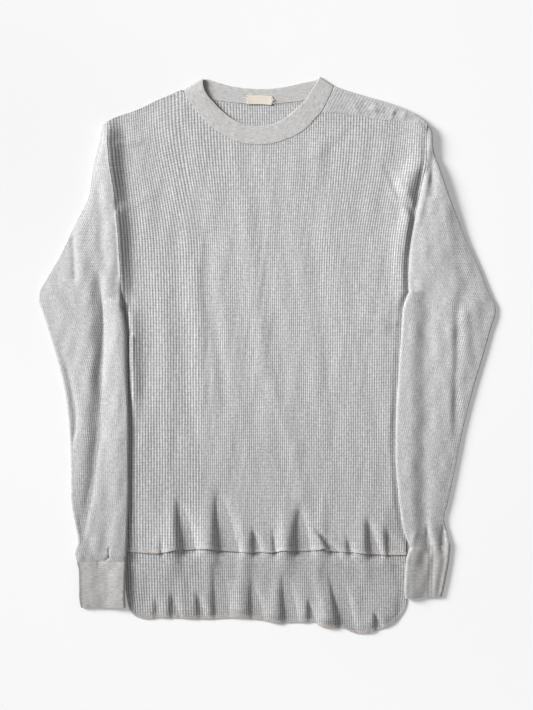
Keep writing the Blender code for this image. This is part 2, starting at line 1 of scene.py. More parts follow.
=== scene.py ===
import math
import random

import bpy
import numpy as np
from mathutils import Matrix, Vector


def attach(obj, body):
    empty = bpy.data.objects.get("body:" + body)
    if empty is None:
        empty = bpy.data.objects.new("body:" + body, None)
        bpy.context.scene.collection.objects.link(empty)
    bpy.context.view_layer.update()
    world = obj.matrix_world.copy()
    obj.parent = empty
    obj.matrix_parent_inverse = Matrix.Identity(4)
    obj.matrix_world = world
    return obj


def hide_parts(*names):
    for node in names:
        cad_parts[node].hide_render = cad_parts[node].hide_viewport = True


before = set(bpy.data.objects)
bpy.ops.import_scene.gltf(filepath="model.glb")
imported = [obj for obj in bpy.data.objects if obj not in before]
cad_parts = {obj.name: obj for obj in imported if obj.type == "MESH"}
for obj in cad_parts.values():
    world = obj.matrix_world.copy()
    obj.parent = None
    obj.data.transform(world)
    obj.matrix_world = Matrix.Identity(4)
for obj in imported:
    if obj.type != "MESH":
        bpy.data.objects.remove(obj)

# A waffle-knit thermal top laid flat on its back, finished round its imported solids.
#
# Tables are in millimetres, seen from above: x to the right, y towards the neck, z up from
# the surface that the top lies on. Meshes are written in metres. "Wearer's right" is the
# side at negative x. The cloth is built on its own knit lattice: one line of points for
# each rib and each row of wells, each with a point for every course and every gap between
# courses. A point's key is its place in its line, counted in half cells.

for startup in ("Cube", "Light", "Camera"):
    if startup in bpy.data.objects:
        bpy.data.objects.remove(bpy.data.objects[startup])
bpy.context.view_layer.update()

MM = 0.001

# ---- cloth ------------------------------------------------------------------------------
KNIT = 1.6  # wall of the waffle knit
RIB = 2.0  # wall of the doubled jersey in the neckband and cuffs
TAPE = 0.8  # wall of the woven label
GAP = 0.3  # clear space between two pieces that lie together
SEAM = 0.1  # the same where their edges are sewn together

BACK_Z = KNIT / 2  # mid-height of the back, flat on the surface
FRONT_Z = BACK_Z + KNIT + GAP  # mid-height of the front where it lies on the back
OVER_BODY = 2 * (KNIT + GAP)  # lift of a sleeve's underside where it lies on front and back
BAND_Z = RIB / 2  # mid-height of the neckband behind the neck
LABEL_Z = RIB + GAP + TAPE / 2

# ---- knit -------------------------------------------------------------------------------
COURSE = 4.1  # height of a waffle cell
ROW = COURSE / 2
SLEEVE_WALE = 2.9  # width of a waffle cell on a sleeve
CUFF_ROW, CUFF_WALE = 1.5, 2.8  # the jersey's step along a cuff, and twice that round it
BODY_COUNTS = {"front": (56, 107, 81), "back": (57, 116, 71)}  # half cells between corners
HOLLOW = 0.56  # depth of a cell's well below its ribs
SLEEVE_HOLLOW = 0.6  # the same on the sleeves
END = 9999  # key of a cut edge
BESIDE = END - 1  # key of the point just inside a cut edge, which keeps the cloth flat up to it
CLOSE = 0.2  # how far inside
UNDER, UNDER_COUNT = -200, 16  # first key of a tube's bottom layer, and its number of points
TURNED = 3  # half cells that turn under at a tube's outer edge
ROUND_STEPS, FLAP_STEPS = 25, 40  # points round the turned shoulder's fold, and beyond it
FLAP_V = 90  # the fold's place in the knit, in courses
# Painted light against the shade of a fold that turns from the lamp: how much lighter it is
# at most, how upright the normal still is where it starts, and how much less upright where it is
# full.
PAINTED_LIGHT_MOST, PAINTED_LIGHT_FROM, PAINTED_LIGHT_SPAN = 1.7, 0.93, 0.6

# ---- outlines: x, y ---------------------------------------------------------------------
NECK_RIGHT_X = -119  # the neck's corner at the wearer's right, on front and back
NECK_LEFT_X = 77  # the front's other corner
TURN_LEFT_X = 94.6  # the back's, where its shoulder starts to turn over to the front
SEAM_TIP_X = 223.9  # outer end of the front's seam with that shoulder
BACK_SHOWS = (-255, 300)  # the back's knit shows below the first y and above the second
SHOULDER_RIGHT = (
    (-223.7, 325.4), (-219.4, 328.4), (-205.5, 335), (-192.6, 338.8), (-176.5, 345.2),
    (-153, 356.4), (-119, 371),
)
SHOULDER_SEAM_LEFT = (  # where the front ends, forward of the shoulder
    (77, 340.2), (102.2, 338.1), (130.2, 333.6), (158.2, 328.3), (186.2, 327.2),
    (205.8, 324), (223.9, 312.9),
)
SHOULDER_FOLD_LEFT = (  # where the back turns over to the front
    (94.6, 375.9), (116.2, 368.8), (144.2, 360.5), (172.2, 352.4), (200.2, 340.9),
    (210, 335.3), (219.8, 327.6), (225.4, 322),
)
FOLD_RADIUS = ((94, 1.5), (140, 1.9), (180, 2.8), (226, 4.2))  # half that fold's height
NECK_BACK = (
    (-119, 371), (-105, 363.3), (-91, 359), (-77, 356.6), (-51.8, 352.8), (-7, 350.7),
    (32.2, 352.8), (57.4, 356.6), (71.4, 361.2), (84, 367.5), (94.6, 373.6),
)
HEM_FRONT = (
    (-200.2, -274.4), (-177.2, -276.4), (-158.6, -277.2), (-142.9, -275.7),
    (-128.7, -272.4), (-105.8, -272.2), (-81.5, -270.8), (-63, -273.6), (-23.8, -275.8),
    (-1, -275.9), (14, -275.2), (21.7, -272.9), (52.1, -273.7), (73.4, -272.2),
    (79.4, -270.6), (85.4, -273.7), (121.8, -275.9), (143.2, -278.2), (173.5, -279.7),
    (194.4, -279.7),
)
HEM_BACK = (
    (-193.9, -351.4), (-191.1, -357.7), (-184.8, -364.7), (-177.2, -367.9),
    (-167.2, -369.3), (-148.7, -367.9), (-114.4, -368.6), (-84.4, -369.6),
    (-37.2, -367.9), (-21.6, -369.6), (-1, -372.3), (15.7, -375.3), (37, -374.6),
    (65.8, -374.1), (74.2, -379.1), (88.5, -381.4), (108.2, -382.9), (118.9, -387.5),
    (128, -389.8), (143.2, -388.2), (162.8, -382.2), (178.1, -374.6), (188.7, -363.2),
    (193.5, -354.2), (195.3, -348.6),
)
# Side seams from the hem up to the armpit, hidden under the sleeves.
SIDE_RIGHT = (
    (-200.2, -274.4), (-201.9, -238), (-202.2, -203), (-201.6, -154), (-201.2, -98),
    (-200.9, -42), (-201.6, 14), (-201.9, 49),
)
SIDE_LEFT = (
    (194.4, -279.7), (196.2, -245), (195.3, -203), (195.3, -149.8), (195.3, -91),
    (196, -30.8), (196.6, 28), (197.4, 68.6),
)
SIDE_LEFT_EXTRA = (196.3, -2)  # one more row for the front, which has no row at the tip
TAIL_RIGHT = ((-193.9, -351.4), (-197.7, -329), (-198, -308), (-198.8, -289.8))
TAIL_LEFT = ((195.3, -348.6), (197.4, -331.8), (198, -312.2), (198.2, -294))
TAIL_CORNER_LEFT = (196.8, -279.7)
TIP_RIGHT = (-223.7, 325.4)
TIP_LEFT = (225.4, 317)
# The sides as the wales inside the panel follow them, without the armholes' turns.
SOFT_RIGHT = (
    (-390, -196.5), (-274, -200.8), (-100, -201.3), (60, -202.5), (160, -207), (240, -214.5),
    (300, -220), (345, -223), (390, -225),
)
SOFT_LEFT = (
    (-390, 196), (-274, 195.3), (-100, 195.5), (60, 197.2), (160, 202), (240, 216), (290, 222.6),
    (320, 225), (390, 226),
)
NEAR_SIDE = 0.12  # share of the width in which the wales bend to the true edge

# ---- neckband: seam x, y, free edge x, y, free edge height (the seam is at the front's) --
BAND_FRONT = (
    (-119, 371, -90.5, 387.3, 7.4),
    (-112.7, 361.2, -88.2, 373.1, 7.2),
    (-103.6, 347.5, -81.9, 361.9, 6.4),
    (-92.4, 332.9, -74.9, 354.2, 5.2),
    (-79.1, 319.8, -65.8, 344.4, 4.4),
    (-63, 308.7, -51.8, 332.9, 3.8),
    (-43.4, 299, -36.4, 324.8, 3.4),
    (-21, 294.1, -18.9, 320.7, 3.2),
    (1.4, 294.7, -2.8, 320.9, 3.2),
    (22.4, 299.6, 13.3, 325.1, 3.3),
    (42, 308, 27.3, 333.2, 3.6),
    (58.1, 319.8, 42, 345.5, 4),
    (71.4, 334.6, 54.6, 357.8, 4.2),
    (77, 340.2, 57.4, 362.3, 4.2),
    (81.5, 349.4, 62.3, 370.3, 4.1),
    (87.7, 361.9, 68.6, 380.8, 4.1),
    (94.6, 375.9, 74.2, 389.5, 4.1),
)
BAND_BACK_FREE = (  # seam x (the seam is NECK_BACK), free edge x, y
    (-119, -89.2, 385),
    (-105, -86, 386.2),
    (-91, -80.5, 385.2),
    (-74.2, -68.6, 381.1),
    (-49, -44.8, 375.2),
    (-7, -7, 372.4),
    (32.2, 26.6, 375.5),
    (54.6, 46.2, 380),
    (71.4, 57.4, 382.2),
    (84, 67.9, 384.7),
    (94.6, 74.2, 389.5),
)
# At each end the band is folded: inset along the crease, half-height at seam and free edge.
CREASE_RIGHT = {"inset": 2.5, "seam": 1.35, "free": 3.2}
CREASE_LEFT = {"inset": 1.2, "seam": 1.45, "free": 1.55}
CREASE_DEPTH = 1.8  # most that a fold bulges along the band
CREASE_ANGLES = tuple(range(90, -91, -12))  # of the sections round a fold
BAND_LIFT = 0.25  # how far the band's seam stands above the front's middle
BAND_WIDTH = 26
BAND_STEPS = 330  # sections round the band

# ---- sleeves: outer x, y, inner x, y, height of the top layer above the bottom one at the
# inner edge, the middle and the outer edge, and lift of the bottom layer at the inner edge.
# The first rows, down to the armpit, are open towards the body: their inner point is on
# the armhole seam.
CAP_ROWS = 13
SLEEVE_RIGHT = (
    (-225.4, 325.9, -223, 323, 6, 6, 5, 0),
    (-229.8, 321.4, -221.8, 315.4, 9.5, 9.5, 8, 0),
    (-232.9, 313, -222, 308, 12, 11, 9, 0),
    (-234.4, 299.6, -222.3, 298.2, 13.5, 12.5, 10, 0),
    (-238, 284.9, -220.9, 284.2, 14, 13, 10, 0),
    (-242.2, 268.8, -219.7, 268.1, 14, 12.5, 9, 0),
    (-246, 245, -215.6, 243.6, 13.5, 12, 8, 0),
    (-251.3, 218.4, -211.7, 217, 13, 11, 7, 0),
    (-263.2, 194.6, -209.6, 191.8, 12.5, 10, 6.5, 0),
    (-277.2, 166.6, -207.3, 165.2, 12.5, 9.5, 6, 0),
    (-290.5, 138.6, -205.7, 138.6, 11.5, 9, 5.5, 0),
    (-305.9, 112, -204, 110.6, 10, 8.5, 5, 0),
    (-320, 83.3, -202.6, 79.8, 9, 8, 5, 0),
    (-319.6, 77, -202.9, 73, 8.5, 7.8, 4.8, OVER_BODY),
    (-317.8, 70.7, -201.7, 65.8, 8, 7.5, 4.6, OVER_BODY),
    (-312.9, 56.7, -198.8, 51.8, 7, 7, 4.6, OVER_BODY),
    (-303.8, 28, -196.1, 23.8, 6.5, 6.5, 4.6, OVER_BODY),
    (-294, -4.2, -195.9, -5.6, 6.2, 6.2, 4.6, OVER_BODY),
    (-284.9, -40.6, -194.6, -40.6, 6, 6, 4.5, OVER_BODY),
    (-279.3, -77, -193.3, -77, 6, 6, 4.5, OVER_BODY),
    (-275.8, -119, -192.8, -119, 6, 6, 4.5, OVER_BODY),
    (-274.4, -161, -192.9, -161, 6, 6, 4.5, OVER_BODY),
    (-273.3, -207.2, -193.3, -207.2, 6, 6, 4.5, OVER_BODY),
    (-268, -238, -194.3, -238, 5.8, 6, 4.5, OVER_BODY),
    (-264.2, -260.4, -195.2, -260.4, 5.6, 6, 4.5, OVER_BODY),
    (-268.4, -277.9, -195.9, -277.9, 5.2, 6, 4.8, OVER_BODY),
    (-266, -288.8, -196.8, -288.8, 4.6, 5, 4.6, 2.1),
)
SLEEVE_LEFT = (
    (225.9, 322, 223.9, 312.9, 14, 15, 14, 0),
    (230.8, 313.9, 223.6, 307.3, 14.5, 15.5, 14.5, 0),
    (232.3, 304.5, 223.4, 299.6, 14.5, 16, 15, 0),
    (232.8, 291.9, 223.4, 289.8, 14, 16, 15.5, 0),
    (235.5, 280, 223.2, 278.6, 13, 16, 15.5, 0),
    (240.2, 267.4, 222.2, 266, 12, 15.5, 15, 0),
    (247, 247.8, 218.7, 247.8, 11, 14, 13.5, 0),
    (256.5, 219.8, 212.8, 219.8, 9.5, 12, 11.5, 0),
    (266.7, 193.2, 207.2, 193.2, 8.5, 10, 9.5, 0),
    (276.5, 168, 202.2, 168, 8, 9, 8.5, 0),
    (287, 144.2, 199.2, 144.2, 7.5, 8.5, 7.5, 0),
    (298.2, 119, 197.8, 120.4, 7, 8, 7, 0),
    (310.1, 89.6, 197.4, 95.2, 6.5, 7.5, 6.5, 0),
    (314.5, 79.5, 197.9, 88.5, 6.2, 7.2, 6.2, OVER_BODY),
    (319.2, 71, 195.3, 81.9, 6, 7, 6, OVER_BODY),
    (320.3, 61.7, 191.1, 70, 5.6, 6.8, 6, OVER_BODY),
    (312.2, 32.2, 188.4, 42, 5.2, 6.4, 6, OVER_BODY),
    (303.1, 0, 185.8, 8.4, 5, 6.2, 5.8, OVER_BODY),
    (292.6, -35, 183.3, -29.4, 5, 6, 5.6, OVER_BODY),
    (283.5, -67.9, 181.2, -64.4, 5, 6, 5.6, OVER_BODY),
    (274.4, -105, 179.6, -102.2, 5, 6, 5.6, OVER_BODY),
    (266, -147, 179.3, -141.4, 5, 6, 6, OVER_BODY),
    (258.3, -185.5, 182, -180.6, 5, 6, 6.2, OVER_BODY),
    (252.8, -209.3, 184.7, -207.2, 5, 6, 6.4, OVER_BODY),
    (248.4, -228.2, 187.5, -228.9, 5, 6, 6.6, OVER_BODY),
    (252.7, -247.8, 191, -247.8, 5, 6, 6.8, OVER_BODY),
    (257.3, -264.9, 199.4, -268.2, 4.8, 5.6, 6, OVER_BODY),
)

# ---- cuffs: the same columns; they overlie the tail's edge alone ------------------------
CUFF_RIGHT = (
    (-264.7, -290.1, -197.1, -290.1, 4.6, 5, 4.6, 1.9),
    (-263.2, -301, -197.4, -301, 6.6, 5.6, 4.6, 1.9),
    (-262.6, -322, -198, -322, 7.4, 6, 4.6, 1.9),
    (-262.5, -338.8, -198.2, -338.8, 7, 5.8, 4.6, 1.9),
    (-260.4, -353.2, -197.4, -353.4, 6, 5, 4.4, 1.9),
)
CUFF_LEFT = (
    (257.8, -266.1, 199.8, -269.8, 4.6, 5.4, 6, 3.6),
    (255.6, -282.8, 194.9, -282.8, 7, 6.2, 5.6, 3.6),
    (253.4, -296.8, 193.2, -296.8, 7.6, 6.2, 5.2, 1.9),
    (250.3, -313.6, 192.2, -313.6, 7.6, 6.2, 5, 1.9),
    (247, -329, 191.8, -329, 7.2, 6, 5, 1.9),
    (244.7, -337.4, 193.1, -340.2, 6, 5.4, 5, 1.9),
)
# How far apart a tube's two layers lie at its edges, by y, where that is less than in the
# solid, and the share of that taken off the middle.
INNER_GAP_RIGHT = (
    (-360, 7.5), (-300, 7.5), (-289, 4.4), (-160, 5), (-60, 5.6), (60, 7), (90, 12), (400, 15),
)
OUTER_GAP_RIGHT = ((-290, 3.4), (0, 3.4), (120, 3.6), (200, 4.5), (300, 6), (330, 5))
SUNK_RIGHT = ((-400, 0), (400, 0))
INNER_GAP_LEFT = (
    (-350, 7.6), (-284, 7.2), (-266, 3.6), (30, 3.5), (70, 4.2), (100, 5), (200, 5.4),
    (240, 6.4), (270, 8), (330, 9),
)
OUTER_GAP_LEFT = (
    (-350, 3.6), (-200, 4), (-100, 3.8), (60, 3.4), (130, 3.6), (180, 5), (215, 8),
    (250, 9), (300, 8.6), (330, 8.4),
)
SUNK_LEFT = ((-350, 0), (150, 0), (220, 0.7), (270, 1), (330, 1))
# Over what width a tube's top layer bends down to its inner edge, by y.
ROUND_RIGHT = (
    (-290, 2.6), (-80, 2.6), (-40, 5), (0, 8), (40, 8), (75, 4), (110, 3), (240, 3.4), (275, 7),
    (300, 9), (318, 4),
)
ROUND_LEFT = ((-270, 3), (60, 3.4), (150, 4), (200, 5), (245, 6), (270, 8), (312, 8))
ROUND_CUFF = ((-400, 1.5), (400, 1.5))
CLEAR_OF_EDGE = 4  # how far past the body's edge a bottom layer keeps its full lift
RAMP = 22  # length over which it then comes down to the surface

# ---- label: centre x, y, width, depth, turn in degrees ----------------------------------
LABEL = {"x": -10.6, "y": 356.6, "width": 35, "depth": 12.5, "turn": -2}
# Loose threads at the tape's cut ends: start along and across the tape, length, heading.
LABEL_FRAY = (
    (17.2, -2.4, 6.4, 38), (17.2, -3.4, 5.0, -14), (17.2, 0.4, 3.4, 12), (17.2, 3.6, 2.0, -20),
    (-17.2, 3.8, 2.0, 165), (-17.2, -0.6, 1.6, 190), (-17.2, -4.2, 2.6, 205),
)

# ---- folds: from x, y to x, y, half width, height ---------------------------------------
FRONT_BED = 1.2  # how far the middle of the front stands clear of the back
LOOSE = 0.3  # the least that it stands clear between the sleeves
SWELL_REACH = 50  # how far up from a hem its swells die away
HEM_RISE, TOP_FALL = 60, 50  # over what length the bed rises from the hem, and ends at the top
NEAR_SLEEVE = 8  # over what width the front comes free of a sleeve
SOFTNESS = 0.16  # height of the uneven waves that all loose cloth has
WANDER = 0.16  # how far a wale wanders to the side
FRONT_FOLDS = (
    (-126, 168, -122, 77, 9, -0.9),
    (-122, 77, -105, -105, 10, -0.9),
    (-84, 168, -80, 77, 8, -0.8),
    (-80, 77, -55, -70, 9, -0.8),
    (-102, 120, -88, -60, 9, 0.7),
    (-10, 42, -3, -21, 10, 0.9),
    (-3, -21, 39, -133, 11, 0.9),
    (39, -133, 49, -196, 9, 0.7),
    (137, 91, 185, 35, 8, -0.9),
    (140, 56, 160, 40, 9, 1.0),
    (196, 200, 199, 150, 8, 2.2),
)
SHOULDER_RISE = (
    (222, 318, 222, 268, 24, 5.4),
    (168, 333, 220, 320, 15, 2.2),
    (92, 372, 80, 345, 12, 0.6),
    (-119, 371, -110, 358, 12, 0.6),
)

# ---- finer folds than the solids have ---------------------------------------------------
SWELL_FRONT = (  # how high the front's hem stands between its furrows
    (-200, 0.2), (-187, 1), (-167, 3), (-147, 6.8), (-131, 11.2), (-115, 6.2), (-97, 8),
    (-81, 11.2), (-64, 6.2), (-47, 5), (-35, 7.5), (-18, 5), (11, 6.2), (26, 10.5), (43, 6.2),
    (63, 5.5), (77, 7), (87, 5), (114, 5.5), (134, 7.5), (153, 5), (161, 5), (178, 2.2),
    (185, 0.5),
)
SWELL_BACK = (
    (-194, 0.3), (-172, 1.4), (-157, 2.9), (-140, 5.2), (-113, 4.2), (-100, 5.4), (-83, 7.1),
    (-63, 3.7), (-47, 4.2), (-31, 6.6), (3, 5.2), (15, 7.7), (38, 4.6), (53, 5.8), (65, 5),
    (83, 8.6), (93, 9.2), (108, 4.6), (130, 4.4), (147, 5.4), (173, 3), (186, 1.4), (195, 0.3),
)
# Bottom x, y, top x, y, half width on the left and on the right, depth.
FURROWS_FRONT = (
    (-110, -272, -127.5, -190, 10.4, 15, 13.8), (-58, -271, -70.5, -178, 11.6, 17, 13.8),
    (-14.5, -276, -19.5, -238, 5.6, 9, 8), (48.5, -273, 45.5, -200, 10, 14, 12.5),
    (92.5, -272, 63.5, -236, 6.4, 8, 8.8), (149.5, -277, 138.5, -218, 7.6, 11, 9.5),
    (175.5, -279, 165.5, -234, 7.2, 9, 6.8), (-182.5, -275, -185.5, -190, 4.8, 8, 1.5),
    (-147.5, -277, -148.5, -250, 2.4, 5, 2.5), (116.5, -276, 111.5, -250, 4.8, 8, 4.2),
    (-39.5, -274, -38.5, -240, 4, 6, 2.5), (12.5, -275, 7.5, -236, 4.8, 8, 3.2),
)
FURROWS_BACK = (
    (-128.5, -368, -134, -326, 6.4, 10, 8.4), (-90.5, -369, -99, -322, 6.4, 10, 7.7),
    (-64.5, -370, -68, -285, 11.2, 15, 8.9), (-15, -370, -22, -306, 8.8, 13, 10.1),
    (32.5, -376, 22, -296, 9.6, 14, 11.3), (63.5, -375, 57, -334, 5.6, 9, 7.2),
    (108.5, -384, 84, -276, 8, 17, 13.2), (156.5, -386, 150, -354, 4.8, 9, 7.2),
    (-153.5, -369, -156, -328, 4.8, 9, 3.6),
)
# Where the front climbs to the wearer's right armhole: y, height at the seam, width.
CREST = (
    (62, 0, 12.3), (78, 2.6, 14.1), (92, 7.3, 15.8), (112, 9.8, 17.6), (140, 11.4, 17.6),
    (175, 12.1, 17.6), (196, 11.9, 17.6), (204, 10.1, 19.4), (211, 9.2, 21.1), (220, 11, 17.6),
    (240, 12.4, 17.6), (265, 13, 21.1), (290, 13.2, 23.8), (303, 12.7, 24.6), (311, 11, 24.6),
    (318, 8.4, 22.9), (325, 5, 21.1), (335, 2.2, 17.6), (350, 0, 17.6),
)
# Where it rises and then dips to the wearer's left armhole: y, height of the rise, its width,
# how far the dip lies from the seam.
DIP = (
    (60, 0, 10, 0), (90, 1.5, 10, 0), (140, 3, 11, 0), (170, 3.6, 12, 0.5), (200, 2.6, 9, 2.5),
    (212, 4.4, 12, 3.5), (236, 6, 15, 5), (252, 5, 14, 5), (266, 2, 14, 4), (285, 0, 14, 2),
    (330, 0, 14, 0),
)
FRONT_CREASES = (  # from x, y to x, y, half width, height
    (-190, 25, -190, -62, 2.4, 3.4), (-196, 204, -164, 224, 8, 0.7),
    (158, 52, 180, 44, 5, 1.2), (150, 30, 176, 14, 6, -0.8), (128, 96, 168, 62, 7, 0.8),
    (177, 239, 186, 220, 3.4, -1.6), (186, 220, 196, 210, 3.4, -1.9), (196, 210, 203, 199, 4, -2.4),
    (186, 244, 196, 227, 6, 0.9), (196, 227, 204, 215, 5, 0.7), (166, 262, 178, 240, 5, -0.7),
    (223.5, 288.5, 220, 284, 1.8, -1.3), (220, 284, 221.5, 279.5, 1.8, -1.1),
    (-140, 35, -138, -180, 8, 0.7), (-30, 200, -12, 40, 14, 0.5), (60, 180, 84, 20, 12, -0.5),
    (100, 200, 110, -40, 14, 0.4), (-60, 60, -48, -150, 8, 0.5), (20, 60, 24, -60, 9, -0.5),
    (-150, 330, -120, 300, 10, 0.8), (-100, 300, -82, 282, 8, 0.6), (88, 300, 66, 280, 8, 0.6),
    (120, 318, 104, 296, 7, -0.6), (-205, 296, -178, 300, 6, 1),
)
FRONT_VALLEYS = (  # rows of y, x, height, half width to the left and to the right
    ((-120, -75, 0, 9, 5), (-70, -80, -0.6, 9, 5), (60, -84, -0.7, 9, 5), (150, -84, 0, 9, 5)),
    ((-140, -160, 0, 9, 9), (-60, -150, 0.5, 9, 9), (60, -145, 0.5, 9, 9), (150, -142, 0, 9, 9)),
    ((-200, 96, 0, 8, 14), (-100, 92, -0.6, 8, 14), (0, 84, -0.6, 8, 14), (90, 80, 0, 8, 14)),
    (  # the front swells up beside the wearer's right sleeve
        (-105, -185, 0, 5, 9), (-75, -186, 1.6, 5, 9), (-40, -187, 3.8, 5, 10),
        (0, -188, 4.2, 5.5, 11), (45, -189.5, 3.4, 5.5, 10), (75, -190, 0, 5, 9),
    ),
)
TAIL_CREASES = (
    (70, -300, 84, -384, 7, 1.6), (-73, -300, -73, -345, 8, -1), (118, -330, 130, -384, 8, 1),
    (-118, -320, -118, -366, 7, 0.8), (-40, -325, -38, -366, 7, 0.8), (10, -330, 4, -370, 6, 0.8),
)
FLAP_FOLDS = (
    (122, 352, 128, 336, 3.5, 0.9), (136, 350, 140, 334, 3, -0.7), (150, 349, 152, 330, 4, 1.1),
    (166, 346, 166, 330, 3, -0.9), (178, 344, 172, 326, 3, 1.6), (176, 345, 184, 330, 3, -1.2),
    (145, 339, 179, 334, 3, -1.3), (146, 344, 178, 338.5, 3, 0.9), (192, 336, 190, 326, 4, 1.4),
    (206, 332, 200, 324, 3, -0.8), (104, 358, 112, 338, 4, -0.5),
)
SLEEVE_RIGHT_VALLEYS = (
    (  # the long pleat down the sleeve, steep on the body's side
        (-272, -260, 0, 9, 4), (-252, -256, -1.6, 10, 4), (-231, -252, -3, 12, 4),
        (-210, -248.5, -4.4, 14, 4), (-189, -244.5, -4.9, 15, 4), (-161, -240.5, -5, 14, 4),
        (-133, -237.5, -5, 14, 6), (-91, -233.5, -4.8, 14, 9), (-63, -232.5, -4.8, 12, 9),
        (-35, -231.5, -5, 10, 6), (0, -230, -5, 9, 4), (35, -228.8, -4.8, 8, 4.5),
        (63, -229.5, -4.4, 8, 5), (91, -232, -3.4, 8, 6), (112, -235, -2, 8, 6),
        (130, -240, -0.6, 8, 6), (150, -243, 0, 8, 6),
    ),
    (
        (-150, -276, 0, 4, 3), (-126, -273, -2, 4, 3), (-105, -268.5, -3.2, 5, 3),
        (-84, -267.5, -3.4, 5, 3), (-63, -271, -2.6, 5, 4), (-35, -276, -1.8, 5, 5),
        (-9.8, -283.2, -1, 6, 6), (20, -292, 0, 6, 6),
    ),
    (
        (110, -226, 0, 6, 6), (150, -232, -1.4, 7, 7), (190, -231, -1.8, 7, 7),
        (225, -234, -1.2, 6, 6), (250, -236, 0, 6, 6),
    ),
    (  # cloth heaped up on the outer side of the pleat
        (-230, -262, 0, 12, 12), (-190, -258, 1.8, 13, 10), (-100, -251, 2.6, 15, 11),
        (0, -246, 2.4, 15, 9), (70, -248, 1.6, 14, 9), (120, -254, 0, 14, 9),
    ),
)
SLEEVE_RIGHT_FOLDS = (
    (-271, 161, -268, 108, 4, -1.6), (-262, 170, -259, 100, 9, 1), (-225, -20, -222, -120, 8, 0.8),
    (-300, 90, -262, 30, 9, 0.9), (-240, 250, -252, 190, 8, 0.9), (-218, 180, -216, 90, 7, 0.8),
    (-221, -270, -221, -283, 1.3, -1.8), (-221, -283, -226, -287.5, 1.3, -1.8),
    (-226, -287.5, -236, -289, 1.5, -1.2), (-268, -279, -262, -283, 6, 1.4),
    (-232, -262, -216, -268, 8, 0.8), (-250, -262, -240, -285, 5, -1),
)
SLEEVE_LEFT_VALLEYS = (
    (
        (-275, 232, 0, 12, 6), (-256, 226, -2.2, 12, 4), (-200, 221, -1.8, 14, 8),
        (-130, 222, -1.2, 12, 9), (-60, 227, -1.4, 13, 9), (30, 226, -1.5, 13, 9),
        (80, 228, -1.1, 12, 9), (130, 230, 0, 12, 9),
    ),
    (
        (-130, 262, 0, 5, 7), (-90, 263, -1, 5, 7), (0, 266, -1.4, 5, 7), (60, 268, -1.1, 5, 7),
        (95, 272, 0, 5, 7),
    ),
    (  # a deep crease that opens towards the cuff
        (-282, 246, -5, 4, 3), (-262, 246.5, -5, 4, 3), (-245, 247.5, -3.6, 3.4, 2.6),
        (-228, 249, 0, 3, 2.6),
    ),
    ((-270, 227.5, -4, 3.4, 2.6), (-255, 225.5, -3.4, 3, 2.4), (-234, 223.5, 0, 2.6, 2.2)),
    ((165, 204, 0, 3, 3), (195, 214, 1, 3, 3), (240, 223, 1.2, 3, 3), (275, 228, 0, 3, 3)),
    ((165, 212, 0, 4, 5), (195, 222, -0.4, 4, 5), (240, 231, -0.4, 4, 5), (275, 234, 0, 4, 5)),
    ((-130, 254, 0, 7, 5), (-80, 256, 0.8, 7, 5), (60, 258, 0.8, 7, 5), (110, 262, 0, 7, 5)),
)
SLEEVE_LEFT_FOLDS = (
    (231, 279, 231, 225, 6, -2), (232, 292, 229, 240, 3, -0.8), (278, 60, 274, -30, 8, 1),
    (262, -238, 256, -262, 4, 2), (236, -262, 234, -240, 6, 1), (206, -250, 202, -268, 4, 1.2),
    (246, 205, 258, 150, 9, 0.9), (262, 140, 282, 96, 9, -0.8), (300, 80, 268, 40, 9, 0.8),
    (222, 150, 214, 96, 8, 0.8),
)
CUFF_RIGHT_VALLEYS = (((-360, -226, -1.8, 17, 13), (-286, -228, -1.8, 17, 13)),)
CUFF_LEFT_VALLEYS = (
    ((-350, 227, -2, 24, 5), (-300, 229, -2, 24, 5), (-262, 231, -2, 24, 5)),
    ((-350, 240, -0.8, 5, 8), (-262, 248, -1.2, 5, 8)),
)
# Painted shade in the two rows of stitching that join the cuff into a tube: y, x of each, how dark.
CUFF_LEFT_STITCH_SHADE = (
    (-345, 224.6, 229.6, 0), (-329, 225, 230, 0.5), (-272, 226.4, 231.2, 0.45),
    (-262, 226.6, 231.4, 0.2),
)


# ---- helpers ----------------------------------------------------------------------------
def curve(table, x, column=1):
    """The smooth curve through a table's first column and another, without overshoot."""
    rows = np.array(table, float)
    keys, values = rows[:, 0], rows[:, column]
    step = np.diff(keys)
    slope = np.diff(values) / step
    same_way = slope[:-1] * slope[1:] > 0
    mean = np.where(same_way, (slope[:-1] + slope[1:]) / 2, 0)
    steepest = 3 * np.minimum(abs(slope[:-1]), abs(slope[1:]))
    inner = np.sign(mean) * np.minimum(abs(mean), steepest)
    tangent = np.concatenate([slope[:1], inner, slope[-1:]])
    x = np.clip(x, keys[0], keys[-1])
    i = np.clip(np.searchsorted(keys, x, side="right") - 1, 0, len(step) - 1)
    t = (x - keys[i]) / step[i]
    rise = values[i + 1] - values[i]
    start, end = tangent[i] * step[i], tangent[i + 1] * step[i]
    cubic = start + end - 2 * rise
    return values[i] + t * (start + t * (3 * rise - 2 * start - end + t * cubic))


def ease(t):
    """0 below 0, 1 above 1, and a smooth rise between."""
    t = np.clip(t, 0, 1)
    return t * t * (3 - 2 * t)


def run_length(x, y):
    """Distance along a run of points, at each of them."""
    return np.concatenate([[0], np.cumsum(np.hypot(np.diff(x), np.diff(y)))])


def folds_at(x, y, folds):
    """Height of soft ridges and troughs, each along a line from x0, y0 to x1, y1."""
    total = np.zeros(np.shape(x))
    for x0, y0, x1, y1, width, height in folds:
        dx, dy = x1 - x0, y1 - y0
        along = np.clip(((x - x0) * dx + (y - y0) * dy) / (dx * dx + dy * dy), 0, 1)
        away = np.hypot(x - x0 - along * dx, y - y0 - along * dy)
        total = total + height * np.exp(-((away / width) ** 2))
    return total


